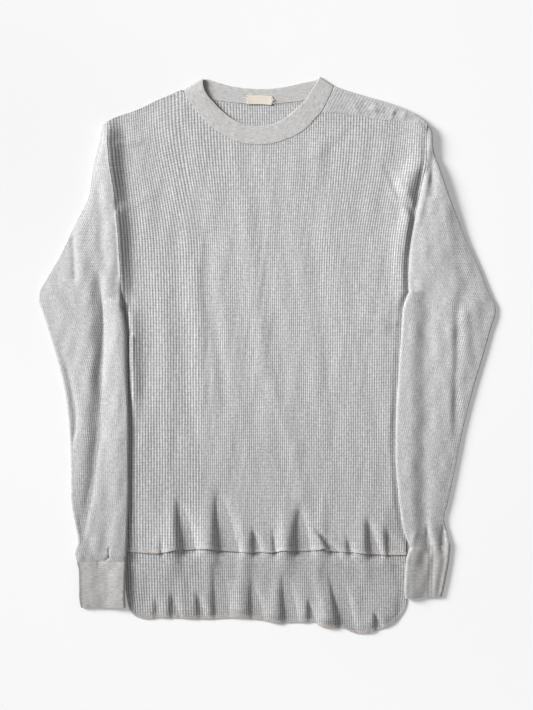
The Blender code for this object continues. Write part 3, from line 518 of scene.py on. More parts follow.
# ---- soft forms -------------------------------------------------------------------------
def valleys(x, y, tables):
    """Lengthwise creases: rows of y, x, height, half width on the left and on the right."""
    total = np.zeros(np.shape(x))
    for table in tables:
        middle, height, left, right = (curve(table, y, column) for column in (1, 2, 3, 4))
        away = x - middle
        share = abs(away / np.where(away < 0, left, right))
        sharp = np.where(height < -3, 1.25, 2)  # a deep one is a crease, the rest are soft
        total = total + height * np.exp(-(share**sharp))
    return total


def furrows(x, y, table):
    """Wedges that open towards a hem."""
    total = np.zeros(np.shape(x))
    for x0, y0, x1, y1, left, right, depth in table:
        down = np.clip((y1 - y) / (y1 - y0), 0, 1.15)
        away = x - x1 - (x0 - x1) * down
        half = np.where(away < 0, left, right) * (0.4 + 0.6 * down)
        total = total - depth * ease(1.2 * down) * np.exp(-((away / half) ** 2))
    return total


def ripples(x, y, seed, across, along, count=14):
    """Uneven waves of about unit height, their lengths between the limits each way."""
    draw = random.Random(seed)
    total = np.zeros(np.shape(x))
    for _ in range(count):
        turn_x = draw.choice((-1, 1)) * 2 * math.pi / draw.uniform(*across)
        turn_y = 2 * math.pi / draw.uniform(*along)
        total = total + np.sin(turn_x * x + turn_y * y + draw.uniform(0, 2 * math.pi))
    return total / math.sqrt(count / 2)


def above_zero(height, blend=0.3):
    """The height where it is above 0, with a soft turn to 0 below."""
    return (height + np.sqrt(height**2 + blend**2)) / 2


# ---- shells -----------------------------------------------------------------------------
def zip_lines(lines, closed):
    """Faces between neighbouring lines of keyed points, a quad where two keys are shared."""
    faces = []
    for n, ((keys_a, ids_a), (keys_b, ids_b)) in enumerate(zip(lines, lines[1:])):
        _, at_a, at_b = np.intersect1d(keys_a, keys_b, True, return_indices=True)
        ids_a, ids_b = ids_a.tolist(), ids_b.tolist()
        at_a, at_b = at_a.tolist(), at_b.tolist()
        for a0, a1, b0, b1 in zip(at_a, at_a[1:], at_b, at_b[1:]):
            faces.append((*ids_b[b0 : b1 + 1], *ids_a[a0 : a1 + 1][::-1]))
        if closed is not None and closed[n]:
            faces.append((ids_b[-1], ids_b[0], ids_a[0], ids_a[-1]))
    return faces


def rims(faces, inner_of):
    """Faces that join the free edges of a surface to those of the one inside it."""
    edges = set()
    for face in faces:
        for a, b in zip(face, face[1:] + face[:1]):
            if (b, a) in edges:
                edges.remove((b, a))
            else:
                edges.add((a, b))
    follows, made = dict(edges), []
    for a in follows:
        if inner_of[a] < 0:
            continue
        path = [a, follows[a]]
        while inner_of[path[-1]] < 0:
            path.append(follows[path[-1]])
        made.append((*path[::-1], inner_of[a], inner_of[path[-1]]))
    return made


def keyed(line, key, index):
    """Points listed line by line, as pairs of keys and indices."""
    stops = np.flatnonzero(np.diff(line)) + 1
    return list(zip(np.split(key, stops), np.split(index, stops)))


def shell(cloth, wall, kept, closed=None, turned=False):
    """A closed wall of cloth: its knitted face, a plainer inner face and rims between."""
    line, key, count = cloth["line"], cloth["key"], len(cloth["line"])
    face = cloth["mid"] + cloth["normal"] * (wall / 2 - cloth["lowered"])[:, None]
    lining = (cloth["mid"] - cloth["normal"] * (wall / 2))[kept]
    faces = zip_lines(keyed(line, key, np.arange(count)), closed)
    inner_of = np.full(count, -1)
    inner_of[kept] = count + np.arange(kept.sum())
    inner_lines = keyed(line[kept], key[kept], inner_of[kept])
    if closed is not None:
        closed = closed[np.unique(line[kept])]
    inner = [f[::-1] for f in zip_lines(inner_lines, closed)]
    soft = len(faces) + len(inner)
    faces += inner + rims(faces, inner_of.tolist())
    if turned:
        faces = [f[::-1] for f in faces]
    every = [np.concatenate([cloth[k], cloth[k][kept]]) for k in ("u", "v", "shown")]
    smooth = np.arange(len(faces)) < soft
    return np.concatenate([face, lining]), faces, np.stack(every[:2], -1), every[2], smooth


def joined(*shells):
    """Several shells as one."""
    faces, start = [], 0
    for shell_points, shell_faces, *_ in shells:
        faces += [tuple(start + i for i in f) for f in shell_faces]
        start += len(shell_points)
    points, _, *rest = (list(part) for part in zip(*shells))
    return np.concatenate(points), faces, *map(np.concatenate, rest)


def piece(name, form, finish):
    """An object of one shell, with its place in the knit as a UV map."""
    points, faces, cells, shown, smooth = form
    mesh = bpy.data.meshes.new(name)
    mesh.from_pydata((points * MM).tolist(), [], faces)
    corners = np.empty(len(mesh.loops), np.int32)
    mesh.loops.foreach_get("vertex_index", corners)
    layer = mesh.uv_layers.new(name="cells")
    layer.data.foreach_set("uv", cells[corners].astype(np.float32).ravel())
    mask = mesh.attributes.new("shown", "FLOAT", "POINT")
    mask.data.foreach_set("value", shown.astype(np.float32))
    mesh.polygons.foreach_set("use_smooth", smooth)
    mesh.materials.append(finish)
    mesh.update()
    made = bpy.data.objects.new(name, mesh)
    bpy.context.scene.collection.objects.link(made)
    return made


def knit_height(column, row):
    """Height of the knit at a half cell: 1 where ribs cross, 0 in a well."""
    upright, level = column % 2 == 0, row % 2 == 0
    return np.where(upright, np.where(level, 1, 0.9), np.where(level, 0.34, 0))


# ---- front and back ---------------------------------------------------------------------
def armhole(stations):
    """Seam points from the armpit up to the shoulder, on the same curve as the sleeve's edge."""
    rows = np.array(stations[:CAP_ROWS], float)
    middle = (rows[:, 0:2] + rows[:, 2:4]) / 2
    length = run_length(*middle.T)
    rows = np.column_stack([length, rows])
    t = np.linspace(length[-1], 0, 160)
    return list(zip(curve(rows, t, 3), curve(rows, t, 4)))


FRONT_EDGES = (
    np.array([*SIDE_RIGHT, *armhole(SLEEVE_RIGHT), TIP_RIGHT]),
    np.array([*SIDE_LEFT[:6], SIDE_LEFT_EXTRA, *SIDE_LEFT[6:], *armhole(SLEEVE_LEFT)]),
)
BACK_EDGES = (
    np.array([*TAIL_RIGHT, *SIDE_RIGHT, *armhole(SLEEVE_RIGHT), TIP_RIGHT]),
    np.array([*TAIL_LEFT, TAIL_CORNER_LEFT, *SIDE_LEFT[1:], *armhole(SLEEVE_LEFT), TIP_LEFT]),
)
FRONT_CORNERS = ((NECK_RIGHT_X, 371), (NECK_LEFT_X, 340.2))
BACK_CORNERS = ((NECK_RIGHT_X, 371), (TURN_LEFT_X, 373.6))


def lean(s, y):
    """How far the wales lean out towards the shoulders, where the sleeves pull on them."""
    from_left = np.sin(np.pi * np.clip(s / 0.46, 0, 1)) ** 2
    from_right = np.sin(np.pi * np.clip((1 - s) / 0.3, 0, 1)) ** 2
    return 6 * from_right * ease((y - 170) / 170) - 22 * from_left * ease((y - 140) / 190)


def body_x(edges, s, y):
    """x at height y on the column that is s of the way across."""
    right, left = edges
    low = np.interp(y, right[:, 1], right[:, 0]) + SEAM / 2
    high = np.interp(y, left[:, 1], left[:, 0]) - SEAM / 2
    soft_low, soft_high = curve(SOFT_RIGHT, y), curve(SOFT_LEFT, y)
    x = soft_low + (soft_high - soft_low) * s + lean(s, y)
    x = x + (low - soft_low) * np.clip(1 - s / NEAR_SIDE, 0, 1) ** 2
    return x + (high - soft_high) * np.clip(1 - (1 - s) / NEAR_SIDE, 0, 1) ** 2


def course_shift(x, y):
    """How far the courses hang down, by a little everywhere and most at the armholes."""
    down_right = 30 * ease((-95 - x) / 130) * ease((y - 130) / 130)
    down_left = 9 * ease((x - 140) / 85) * ease((y - 150) / 130)
    return down_right + down_left + 0.9 * ripples(x, y, 13, (120, 300), (150, 400), 6)


def columns_between(edges, corners, counts):
    """Column positions, with one column at each corner of the top edge."""
    stops, s = [0], np.linspace(0, 1, 2001)
    for x, y in corners:
        stops.append(float(np.interp(x, body_x(edges, s, np.full(s.shape, float(y))), s)))
    stops.append(1)
    parts = [
        np.linspace(a, b, n, endpoint=False) for a, b, n in zip(stops, stops[1:], counts)
    ]
    return np.append(np.concatenate(parts), 1)


def front_top(x):
    """y of the front's top edge: shoulder, neck and the seam with the turned shoulder."""
    outline = np.where(
        x < FRONT_CORNERS[0][0], curve(SHOULDER_RIGHT, x), curve(BAND_FRONT, x)
    )
    return np.where(x > FRONT_CORNERS[1][0], curve(SHOULDER_SEAM_LEFT, x), outline)


def back_top(x):
    """y of the back's top edge, the turned shoulder cut short where it leaves the surface."""
    outline = np.where(x < BACK_CORNERS[0][0], curve(SHOULDER_RIGHT, x), curve(NECK_BACK, x))
    turned = curve(SHOULDER_FOLD_LEFT, x) - curve(FOLD_RADIUS, x) - BACK_Z
    return np.where(x > BACK_CORNERS[1][0], turned, outline)


def inner_edge(stations, y):
    """x of a sleeve's edge on the body's side, the armhole seam above the armpit."""
    rows = np.array(sorted((row[3], row[2]) for row in stations))
    return np.interp(y, rows[:, 0], rows[:, 1])


def front_height(x, y):
    """Mid-height of the front: flat under the sleeves, raised and folded between them."""
    right = x - inner_edge(SLEEVE_RIGHT, y) - 1
    left = inner_edge(SLEEVE_LEFT, y) - x - 1
    free = ease(np.minimum(right, left) / NEAR_SLEEVE)
    above_hem = y - curve(HEM_FRONT, x)
    swell = curve(SWELL_FRONT, x) * np.exp(-((above_hem / SWELL_REACH) ** 2))
    bed = FRONT_BED * ease(above_hem / HEM_RISE) * ease((front_top(x) - y) / TOP_FALL)
    folds = folds_at(x, y, FRONT_FOLDS) + folds_at(x, y, FRONT_CREASES)
    folds = folds + valleys(x, y, FRONT_VALLEYS) + furrows(x, y, FURROWS_FRONT)
    soft = SOFTNESS * ripples(x, y, 3, (18, 60), (90, 400))
    soft = soft + 0.05 * ripples(x, y, 4, (9, 20), (40, 120))
    raised = free * (LOOSE + above_zero(bed + swell + folds + soft))
    crest = curve(CREST, y) * np.clip(1 - (right + 1) / curve(CREST, y, 2), 0, 1) ** 1.6
    beyond = left + 1 - curve(DIP, y, 3)
    t = np.maximum(beyond, 0) / curve(DIP, y, 2)
    dip = curve(DIP, y) * np.sin(np.pi / 2 * np.minimum(t, 1))
    dip = dip * np.exp(-(np.maximum(t - 1, 0) ** 2))
    dip = dip + 0.45 * np.clip(-beyond, 0, curve(DIP, y, 3))
    return FRONT_Z + raised + crest + dip + folds_at(x, y, SHOULDER_RISE)


def back_height(x, y):
    """Mid-height of the back: flat on the surface, ruffled where the tail shows."""
    side = np.minimum(x - body_x(BACK_EDGES, 0, y), body_x(BACK_EDGES, 1, y) - x)
    hem = curve(HEM_FRONT, x)
    shown = ease((side - 8) / 10) * ease((hem - 4 - y) / 14)
    above_hem = y - curve(HEM_BACK, x)
    swell = curve(SWELL_BACK, x) * np.exp(-((above_hem / SWELL_REACH) ** 2))
    folds = folds_at(x, y, TAIL_CREASES) + furrows(x, y, FURROWS_BACK)
    soft = SOFTNESS * ripples(x, y, 5, (14, 50), (60, 200))
    # Up against the front's hem it rises with the front, and carries its ridges on below.
    below = np.maximum(hem - y, 0)
    near = np.where(y < hem, np.exp(-((below / 7) ** 2)), ease((hem + 14 - y) / 14))
    ridge = 0.7 * (np.exp(-((below / 34) ** 2)) - near) * (y < hem) * ease((side - 8) / 20)
    lifted = 0.9 * near * (front_height(x, np.maximum(y, hem)) - FRONT_Z)
    lifted = lifted + ridge * curve(SWELL_FRONT, x)
    at_edge = 0.4 + 0.6 * ease(above_hem / 14)
    return BACK_Z + lifted + shown * at_edge * above_zero(swell + folds + soft)


def sloped(height, x, y, step=0.4):
    """Height and upward normal of a surface over x, y."""
    z = height(x, y)
    rise_x = (height(x + step, y) - height(x - step, y)) / (2 * step)
    rise_y = (height(x, y + step) - height(x, y - step)) / (2 * step)
    normal = np.stack([-rise_x, -rise_y, np.ones_like(z)], -1)
    return z, normal / np.linalg.norm(normal, axis=-1, keepdims=True)


def panel(edges, columns, bottom, top, wanted, height, seed, shift):
    """A panel's lattice of half cells, cut at the hem and at the top edge."""
    low = np.full(len(columns), edges[0][0, 1])
    high = np.full(len(columns), edges[0][-1, 1])
    for _ in range(30):
        low = bottom(body_x(edges, columns, low))
        high = top(body_x(edges, columns, high))
    ends = [(y + shift(body_x(edges, columns, y), y)) / ROW for y in (low, high)]
    line, key, y = [], [], []
    for n, (start, end) in enumerate(zip(*ends)):
        rows = [k for k in range(math.ceil(start + 0.4), math.floor(end - 0.4) + 1) if wanted(k)]
        line += [n] * (len(rows) + 4)
        key += [-END, -BESIDE, *rows, BESIDE, END]
        y += [low[n], low[n] + CLOSE, *(k * ROW for k in rows), high[n] - CLOSE, high[n]]
    line, key, y = np.array(line), np.array(key), np.array(y)
    s, cut, level = columns[line], abs(key) >= BESIDE, y.copy()
    for _ in range(10):
        y = np.where(cut, level, level - shift(body_x(edges, s, y), y))
    inside = np.minimum(1, 12 * np.minimum(s, 1 - s))
    inside = inside * np.clip((y - low[line]) / 20, 0, 1) * np.clip((high[line] - y) / 20, 0, 1)
    x = body_x(edges, s, y)
    v = np.where(cut, y + shift(x, y), level) / COURSE
    x = x + WANDER * inside * ripples(400 * s, y, seed, (25, 90), (60, 220))
    z, normal = sloped(height, x, y)
    cloth = {"line": line, "key": key, "mid": np.stack([x, y, z], -1), "normal": normal}
    cloth["u"], cloth["v"] = (line + 1) / 2, v
    cloth["hem"] = key <= -BESIDE
    cloth["edge"] = cut | (line == 0) | (line == len(columns) - 1)
    return cloth


def knitted(cloth, depth, shown):
    """Sinks a panel's wells and softens its cut edges, the hem's most."""
    sunk = 1 - knit_height(cloth["line"] + 1, cloth["key"])
    at_right = (cloth["line"] == 0) & (abs(cloth["key"]) < BESIDE)
    rounding = np.where(cloth["hem"], 0.15, np.where(at_right, 0.3, 0.05))
    cloth["lowered"] = np.where(cloth["edge"], rounding, depth * shown * sunk)
    cloth["shown"] = shown
    return cloth


def beside_hem(above):
    """How much of the knit's relief is left under the overlocking."""
    return 0.3 + 0.7 * ease((above - 2) / 5)


def is_kept(cloth, columns):
    """Which points of a panel its plainer inner face has too."""
    line = (cloth["line"] % 2 == 0) | (cloth["line"] == columns - 1)
    return line & ((abs(cloth["key"]) == END) | (cloth["key"] % 4 == 0))


def along_section(at, s, q, z, step):
    """Place and direction at distances along a section: q across the surface, z above it."""
    place = [np.interp(at, s, v) for v in (q, z)]
    ahead = [np.interp(at + step, s, v) - np.interp(at - step, s, v) for v in (q, z)]
    return np.stack([*place, *ahead])


def standing(start, heading, section, side):
    """Points and normals of a section that stands on a line over the surface."""
    q, z, dq, dz = section
    size = np.hypot(dq, dz) * side
    points = np.stack([start[0] + heading[0] * q, start[1] + heading[1] * q, z], -1)
    normals = np.stack([-heading[0] * dz / size, -heading[1] * dz / size, dq / size], -1)
    return points, normals


def make_front():
    """The front, whose courses hang down towards the armholes."""
    columns = columns_between(FRONT_EDGES, FRONT_CORNERS, BODY_COUNTS["front"])
    cloth = panel(
        FRONT_EDGES, columns, lambda x: curve(HEM_FRONT, x), front_top, lambda k: True,
        front_height, 11, course_shift,
    )
    x, y = cloth["mid"][:, 0], cloth["mid"][:, 1]
    shown = np.clip(0.93 + 0.07 * ripples(x, y, 21, (40, 160), (60, 300)), 0.6, 1)
    shown = shown * beside_hem(y - curve(HEM_FRONT, x))
    from_left = len(columns) - 1 - cloth["line"]
    shown = np.where(from_left < 2, 0.4 * from_left, shown)
    knitted(cloth, HOLLOW, shown)
    return piece("front_cloth", shell(cloth, KNIT, is_kept(cloth, len(columns))), waffle)


def flap_section(fold, seam, radius, seam_z):
    """The turned shoulder's section, from under the fold's start up and over to the seam."""
    reach = np.hypot(*(seam - fold))
    along = (seam - fold) / reach
    start, stop = BACK_Z + radius, reach - GAP / 3
    angles = np.radians(np.linspace(-90, 90, ROUND_STEPS))
    out, up = np.cos(angles) ** 0.6, np.sign(angles) * abs(np.sin(angles)) ** 0.6
    q = np.concatenate([start - radius * out, np.linspace(start, stop, FLAP_STEPS)[1:]])
    ramp = np.linspace(0, 1, FLAP_STEPS)[1:]
    top_z = BACK_Z + 2 * radius
    z = np.concatenate([start + radius * up, top_z + (seam_z - top_z) * ramp])
    bulge = np.sin(np.pi * np.clip((q - 1) / (stop - 1), 0, 1)) ** 0.8
    lift = folds_at(fold[0] + along[0] * q, fold[1] + along[1] * q, FLAP_FOLDS)
    lift = above_zero(lift + 0.4, 0.2) - 0.4
    return along, q, z + bulge * lift * (z > BACK_Z + radius)


def turned_shoulder(columns):
    """The strip of the back that folds forward over the wearer's left shoulder."""
    first = sum(BODY_COUNTS["back"][:2])
    turned = np.arange(first, len(columns))
    top_y = back_top(body_x(BACK_EDGES, columns[turned], 340))
    fold_x = body_x(BACK_EDGES, columns[turned], top_y)
    share = (turned - first) / (len(columns) - 1 - first)
    line, key, level, placed = [], [], [], []
    for n, (x0, t) in enumerate(zip(fold_x, share)):
        fold = np.array([x0, curve(SHOULDER_FOLD_LEFT, x0)])
        seam_x = NECK_LEFT_X + (SEAM_TIP_X - NECK_LEFT_X) * t - SEAM / 2 * t
        seam = np.array([seam_x, curve(SHOULDER_SEAM_LEFT, seam_x)])
        radius = float(curve(FOLD_RADIUS, x0))
        seam_z = float(front_height(seam[0], seam[1]))
        along, q, z = flap_section(fold, seam, radius, seam_z)
        s = run_length(q, z)
        zero = s[ROUND_STEPS - 1]
        lowest, highest = -math.floor(zero / ROW - 0.4), math.floor((s[-1] - zero) / ROW - 0.4)
        keys = list(range(lowest, highest + 1))
        at = np.concatenate([[0, CLOSE], zero + np.array(keys) * ROW, [s[-1] - CLOSE, s[-1]]])
        placed.append(standing(fold, along, along_section(at, s, q, z, 0.3), 1))
        line += [n] * len(at)
        key += [-END, -BESIDE, *keys, BESIDE, END]
        level += list(at - zero)
    flap = {"line": np.array(line), "key": np.array(key)}
    flap["mid"], flap["normal"] = (np.concatenate(part) for part in zip(*placed))
    flap["u"] = (flap["line"] + first + 1) / 2
    flap["v"] = FLAP_V - np.array(level) / COURSE
    flap["edge"] = (abs(flap["key"]) >= BESIDE) | (flap["line"] == 0)
    flap["edge"] |= flap["line"] == flap["line"][-1]
    flap["hem"] = flap["key"] <= -BESIDE
    knitted(flap, HOLLOW, np.full(len(line), 0.38))
    # Painted light along the fold's edge, which turns from the lamp: a share below 0 that the
    # finish paints lighter.
    painted_light = curve(((-4, 0), (-3, 0.3), (-1, 0.3), (0, 0)), flap["key"])
    flap["shown"] = np.where(painted_light > 0.05, -painted_light, flap["shown"])
    return shell(flap, KNIT, is_kept(flap, len(turned)), turned=True)


def make_back():
    """The back, whose wearer's left shoulder folds forward to the front's seam."""
    columns = columns_between(BACK_EDGES, BACK_CORNERS, BODY_COUNTS["back"])

    def wanted(k):
        return k * ROW < BACK_SHOWS[0] or k * ROW > BACK_SHOWS[1] or k % 8 == 0

    cloth = panel(
        BACK_EDGES, columns, lambda x: curve(HEM_BACK, x), back_top, wanted,
        back_height, 12, lambda x, y: 0.8 * ripples(x, y, 14, (90, 240), (90, 240), 6),
    )
    x, y = cloth["mid"][:, 0], cloth["mid"][:, 1]
    fine = (y < BACK_SHOWS[0]) | (y > BACK_SHOWS[1])
    shown = np.clip(0.93 + 0.07 * ripples(x, y, 22, (60, 200), (40, 90)), 0.5, 1)
    shown = np.where(fine, shown, 0)
    shown = shown * beside_hem(y - curve(HEM_BACK, x))
    knitted(cloth, HOLLOW, shown)
    main = shell(cloth, KNIT, is_kept(cloth, len(columns)))
    return piece("back_cloth", joined(main, turned_shoulder(columns)), waffle)


# ---- sleeves and cuffs ------------------------------------------------------------------
def along_length(stations, step, inner_gap, outer_gap, sunk):
    """Stations drawn out to even steps along the tube, with the armpit's place."""
    rows = np.array(stations, float)
    edges = rows[:, 4] + rows[:, 6]
    rows[:, 4] = np.minimum(rows[:, 4], curve(inner_gap, rows[:, 3]))
    rows[:, 6] = np.minimum(rows[:, 6], curve(outer_gap, rows[:, 1]))
    rows[:, 5] += (rows[:, 4] + rows[:, 6] - edges) / 2 * curve(sunk, rows[:, 3])
    middle = (rows[:, 0:2] + rows[:, 2:4]) / 2
    length = run_length(*middle.T)
    count = round(length[-1] / step)
    t = np.linspace(0, length[-1], count + 1)
    t = np.concatenate([t[:1], t[:1] + CLOSE, t[1:-1], t[-1:] - CLOSE, t[-1:]])
    table = np.column_stack([length, rows])
    return t, np.column_stack([curve(table, t, c + 1) for c in range(8)]), length


def ring(at, closing, wall, body_edge, seam_z, dents, rounding):
    """A section in two dense runs of x, y, z: under from the inner edge, and back over."""
    outer, inner = np.array(at[0:2]), np.array(at[2:4])
    inner_gap, middle_gap, outer_gap, lift = at[4:8]
    side = math.copysign(1, outer[0] - inner[0])
    away = (outer - inner) / np.hypot(*(outer - inner))
    to_open = np.array([side * SEAM / 2, 0])
    inner = inner + closing * away * wall / 2 + (1 - closing) * to_open
    outer = outer - away * wall / 2
    width = np.hypot(*(outer - inner))
    over = (body_edge - inner[0]) * side
    inner_half = min(inner_gap / 2, 0.42 * width)
    outer_half = min(outer_gap / 2, 0.42 * width)
    edge = max(over + CLEAR_OF_EDGE, inner_half + 1)

    def under(q):
        return wall / 2 + lift * (1 - ease((q - edge) / RAMP))

    def above(q):
        t = np.clip(q / width, 0, 1)
        gap = inner_gap * (1 - t) + outer_gap * t
        gap = gap + (middle_gap - (inner_gap + outer_gap) / 2) * 4 * t * (1 - t)
        x, y = inner[0] + away[0] * q, inner[1] + away[1] * q
        flat = np.minimum(1, 12 * t * (1 - t))
        dent = dents(x, y) * flat
        return under(q) + wall + 0.8 + above_zero(gap + dent - wall - 0.8, 0.25)

    end, rounding = width - outer_half, min(rounding, 0.4 * width)
    turn = np.radians(np.linspace(0, 90, 12))
    low, high = under(end), above(end)
    along, up = np.cos(turn) ** 0.6, np.sin(turn) ** 0.6
    outer_q = end + outer_half * along
    outer_z = (low + high) / 2 + (high - low) / 2 * up
    outer_low = (low + high) / 2 - (high - low) / 2 * up

    flat_q = np.linspace(inner_half, end, 60)
    fold_q = inner_half * (1 - np.cos(turn))
    low_in, high_in = under(inner_half), above(rounding)
    half = (high_in - low_in) / 2
    closed_under_q = np.concatenate([fold_q, flat_q[1:], outer_q[::-1][1:]])
    closed_under_z = np.concatenate(
        [low_in + half - half * np.sin(turn), under(flat_q[1:]), outer_low[::-1][1:]]
    )
    top_q = np.linspace(end, rounding, 160)
    round_q = rounding * (1 - np.cos(turn[::-1]))
    closed_over_q = np.concatenate([outer_q, top_q[1:], round_q[1:]])
    closed_over_z = np.concatenate(
        [outer_z, above(top_q[1:]), low_in + half + half * np.sin(turn[::-1][1:])]
    )
    open_q = np.linspace(0, end, len(fold_q) + len(flat_q) - 1)
    open_under_q = np.concatenate([open_q, outer_q[::-1][1:]])
    open_under_z = np.concatenate([under(open_q), outer_low[::-1][1:]])
    drop, step = high_in - seam_z, np.linspace(1, 0, len(turn))[1:]
    open_over_z = np.concatenate(
        [outer_z, above(top_q[1:]), seam_z + drop * np.sin(np.pi / 2 * step)]
    )
    open_over_q = np.concatenate([outer_q, top_q[1:], rounding * step])
    q = [
        closing * closed_under_q + (1 - closing) * open_under_q,
        closing * closed_over_q + (1 - closing) * open_over_q,
    ]
    z = [
        closing * closed_under_z + (1 - closing) * open_under_z,
        closing * closed_over_z + (1 - closing) * open_over_z,
    ]
    return inner, away, q, z


def tube_section(at, closing, wall, look):
    """One ring of a tube: its keys, its places in the knit, its points and its normals."""
    side = math.copysign(1, at[0] - at[2])
    edges = BACK_EDGES[0 if side < 0 else 1]
    body_edge = np.interp(at[3], edges[:, 1], edges[:, 0])
    seam_z = float(front_height(at[2] - side * SEAM / 2, at[3]))
    rounding = float(curve(look["rounding"], at[3]))
    inner, away, q, z = ring(at, closing, wall, body_edge, seam_z, look["dents"], rounding)
    under, over = (run_length(*run) for run in zip(q, z))
    pitch = look["wale"] / 2
    last = math.floor(over[-1] / pitch - 0.5)
    low_at = np.linspace(0.9 * closing, under[-1] - (TURNED + 0.6) * pitch, UNDER_COUNT)
    low_at = np.concatenate([low_at, under[-1] - np.arange(TURNED, 0, -1) * pitch])
    high_at = np.concatenate([np.arange(0, last + 1) * pitch, over[-1:]])
    section = np.concatenate([
        along_section(low_at, under, q[0], z[0], 0.5),
        along_section(high_at, over, q[1], z[1], 0.5),
    ], axis=1)
    keys = [*range(UNDER, UNDER + UNDER_COUNT), *range(-TURNED, last + 1), END]
    around = np.concatenate([np.arange(-len(low_at), last + 1), [last + 0.9]]) / 2
    return keys, around, *standing(inner, away, section, -1)


def make_tube(name, stations, open_rows, wall, finish, look):
    """A sleeve or cuff on its knit's lattice. The first open_rows are open at the body."""
    t, rows, length = along_length(stations, look["row"], *look["gaps"])
    opens, shuts = length[max(open_rows - 1, 0)], length[open_rows]
    closed = t >= shuts - 1e-6 if open_rows else np.full(len(t), True)
    rings = []
    for here, at in zip(t, rows):
        closing = float(np.clip((here - opens) / (shuts - opens), 0, 1)) if open_rows else 1
        rings.append(tube_section(at, closing, wall, look))
    line = np.repeat(np.arange(len(t)), [len(ring_keys) for ring_keys, *_ in rings])
    key, around, mid, normal = (np.concatenate(part) for part in zip(*rings))
    number = np.clip(line - 1, 0, len(t) - 3)  # of the row, without those beside the ends
    ends = (line < 2) | (line > len(t) - 3)
    top = (key >= -2) & (key < END)
    turned_out = np.clip(abs(key + 0.5) / 4, 0.15, 1)  # plainer round the outer fold
    shown = look["shown"](mid[:, 0], mid[:, 1]) * turned_out
    sunk = np.where(top, 1 - knit_height(key, number), 0.5)
    lowered = np.where(ends, look["edge"], look["depth"] * shown * sunk)
    at_armhole = ~closed[line] & ((key == END) | (key == UNDER))
    lowered = np.where(at_armhole, 0.05, lowered)
    # Away from the light the folded edge gets painted light: below 0 on the knit, added on jersey.
    folded = (key > -TURNED - 1) & (key < 6)
    painted_light = PAINTED_LIGHT_MOST * ease((PAINTED_LIGHT_FROM - normal[:, 2]) / PAINTED_LIGHT_SPAN)
    painted_light = np.where(folded, painted_light, 0)
    to_right = stations[0][0] > 0
    if to_right and wall == KNIT:
        shown = np.where(painted_light > 0.1, -painted_light, shown)
    elif to_right:
        shown = shown + painted_light
    cloth = {
        "line": line, "key": key, "mid": mid, "normal": normal, "u": around,
        "v": number * look["row"] / COURSE, "shown": shown, "lowered": lowered,
    }
    if "change" in look:
        look["change"](cloth)
    kept_line = (line % 4 == 0) | (line == 0) | (line == len(t) - 1)
    if open_rows:
        kept_line |= line == int(np.argmax(closed))
    kept_key = (key < UNDER + UNDER_COUNT) | (key == END) | (key % 3 == 0)
    made = shell(cloth, wall, kept_line & kept_key, closed, to_right)
    return piece(name, made, finish)


# ---- neckband and label -----------------------------------------------------------------
def crease(seam, free, side, shape, angles):
    """Ends of the band's sections round one of its folds."""
    seam, free = np.array(seam, float), np.array(free, float)
    along = (free - seam) / np.hypot(*(free - seam))
    normal = np.array([-along[1], along[0]]) * side
    rows = []
    for a in map(math.radians, angles):
        ends = []
        for corner, radius in (
            (seam + along * shape["inset"], shape["seam"]),
            (free, shape["free"]),
        ):
            inward = RIB / 2 + min(radius, CREASE_DEPTH) * (1 - math.cos(a))
            z = BAND_Z + radius * (1 + math.sin(a))
            ends.append(np.array([*(corner - normal * inward), z]))
        rows.append(ends)
    return rows


def band_section(seam, free, stand_off):
    """Seam and free end of a flat section, the seam just clear of the panel's edge."""
    seam, free = np.array(seam, float), np.array(free, float)
    along = (free - seam)[:2] / np.hypot(*(free - seam)[:2])
    seam[:2] += along * stand_off
    return [seam, free]


def band_sections():
    """Sections of the neckband, round the front from the wearer's right and back behind."""
    sections = []
    for x in np.linspace(NECK_RIGHT_X, TURN_LEFT_X, 150)[2:-2]:
        y = float(curve(BAND_FRONT, x))
        if x < NECK_LEFT_X:
            z = float(front_height(x, y - 1))
        else:  # up on to the turned shoulder
            share = (x - NECK_LEFT_X) / (TURN_LEFT_X - NECK_LEFT_X)
            low = float(front_height(NECK_LEFT_X, FRONT_CORNERS[1][1] - 1.2))
            z = low + (BACK_Z + 2 * FOLD_RADIUS[0][1] - low) * share
        free = [float(curve(BAND_FRONT, x, column)) for column in (2, 3, 4)]
        sections.append(band_section((x, y, z + BAND_LIFT), free, GAP / 2))
    last, first = BAND_FRONT[-1], BAND_FRONT[0]
    sections += crease(last[:2], last[2:4], -1, CREASE_LEFT, CREASE_ANGLES)
    for x in np.linspace(TURN_LEFT_X, NECK_RIGHT_X, 130)[3:-3]:
        y = float(curve(NECK_BACK, x))
        free = [float(curve(BAND_BACK_FREE, x, column)) for column in (1, 2)]
        sections.append(band_section((x, y, BAND_Z), (*free, BAND_Z), 2 * GAP))
    sections += crease(first[:2], first[2:4], 1, CREASE_RIGHT, CREASE_ANGLES[::-1])
    return np.array(sections)


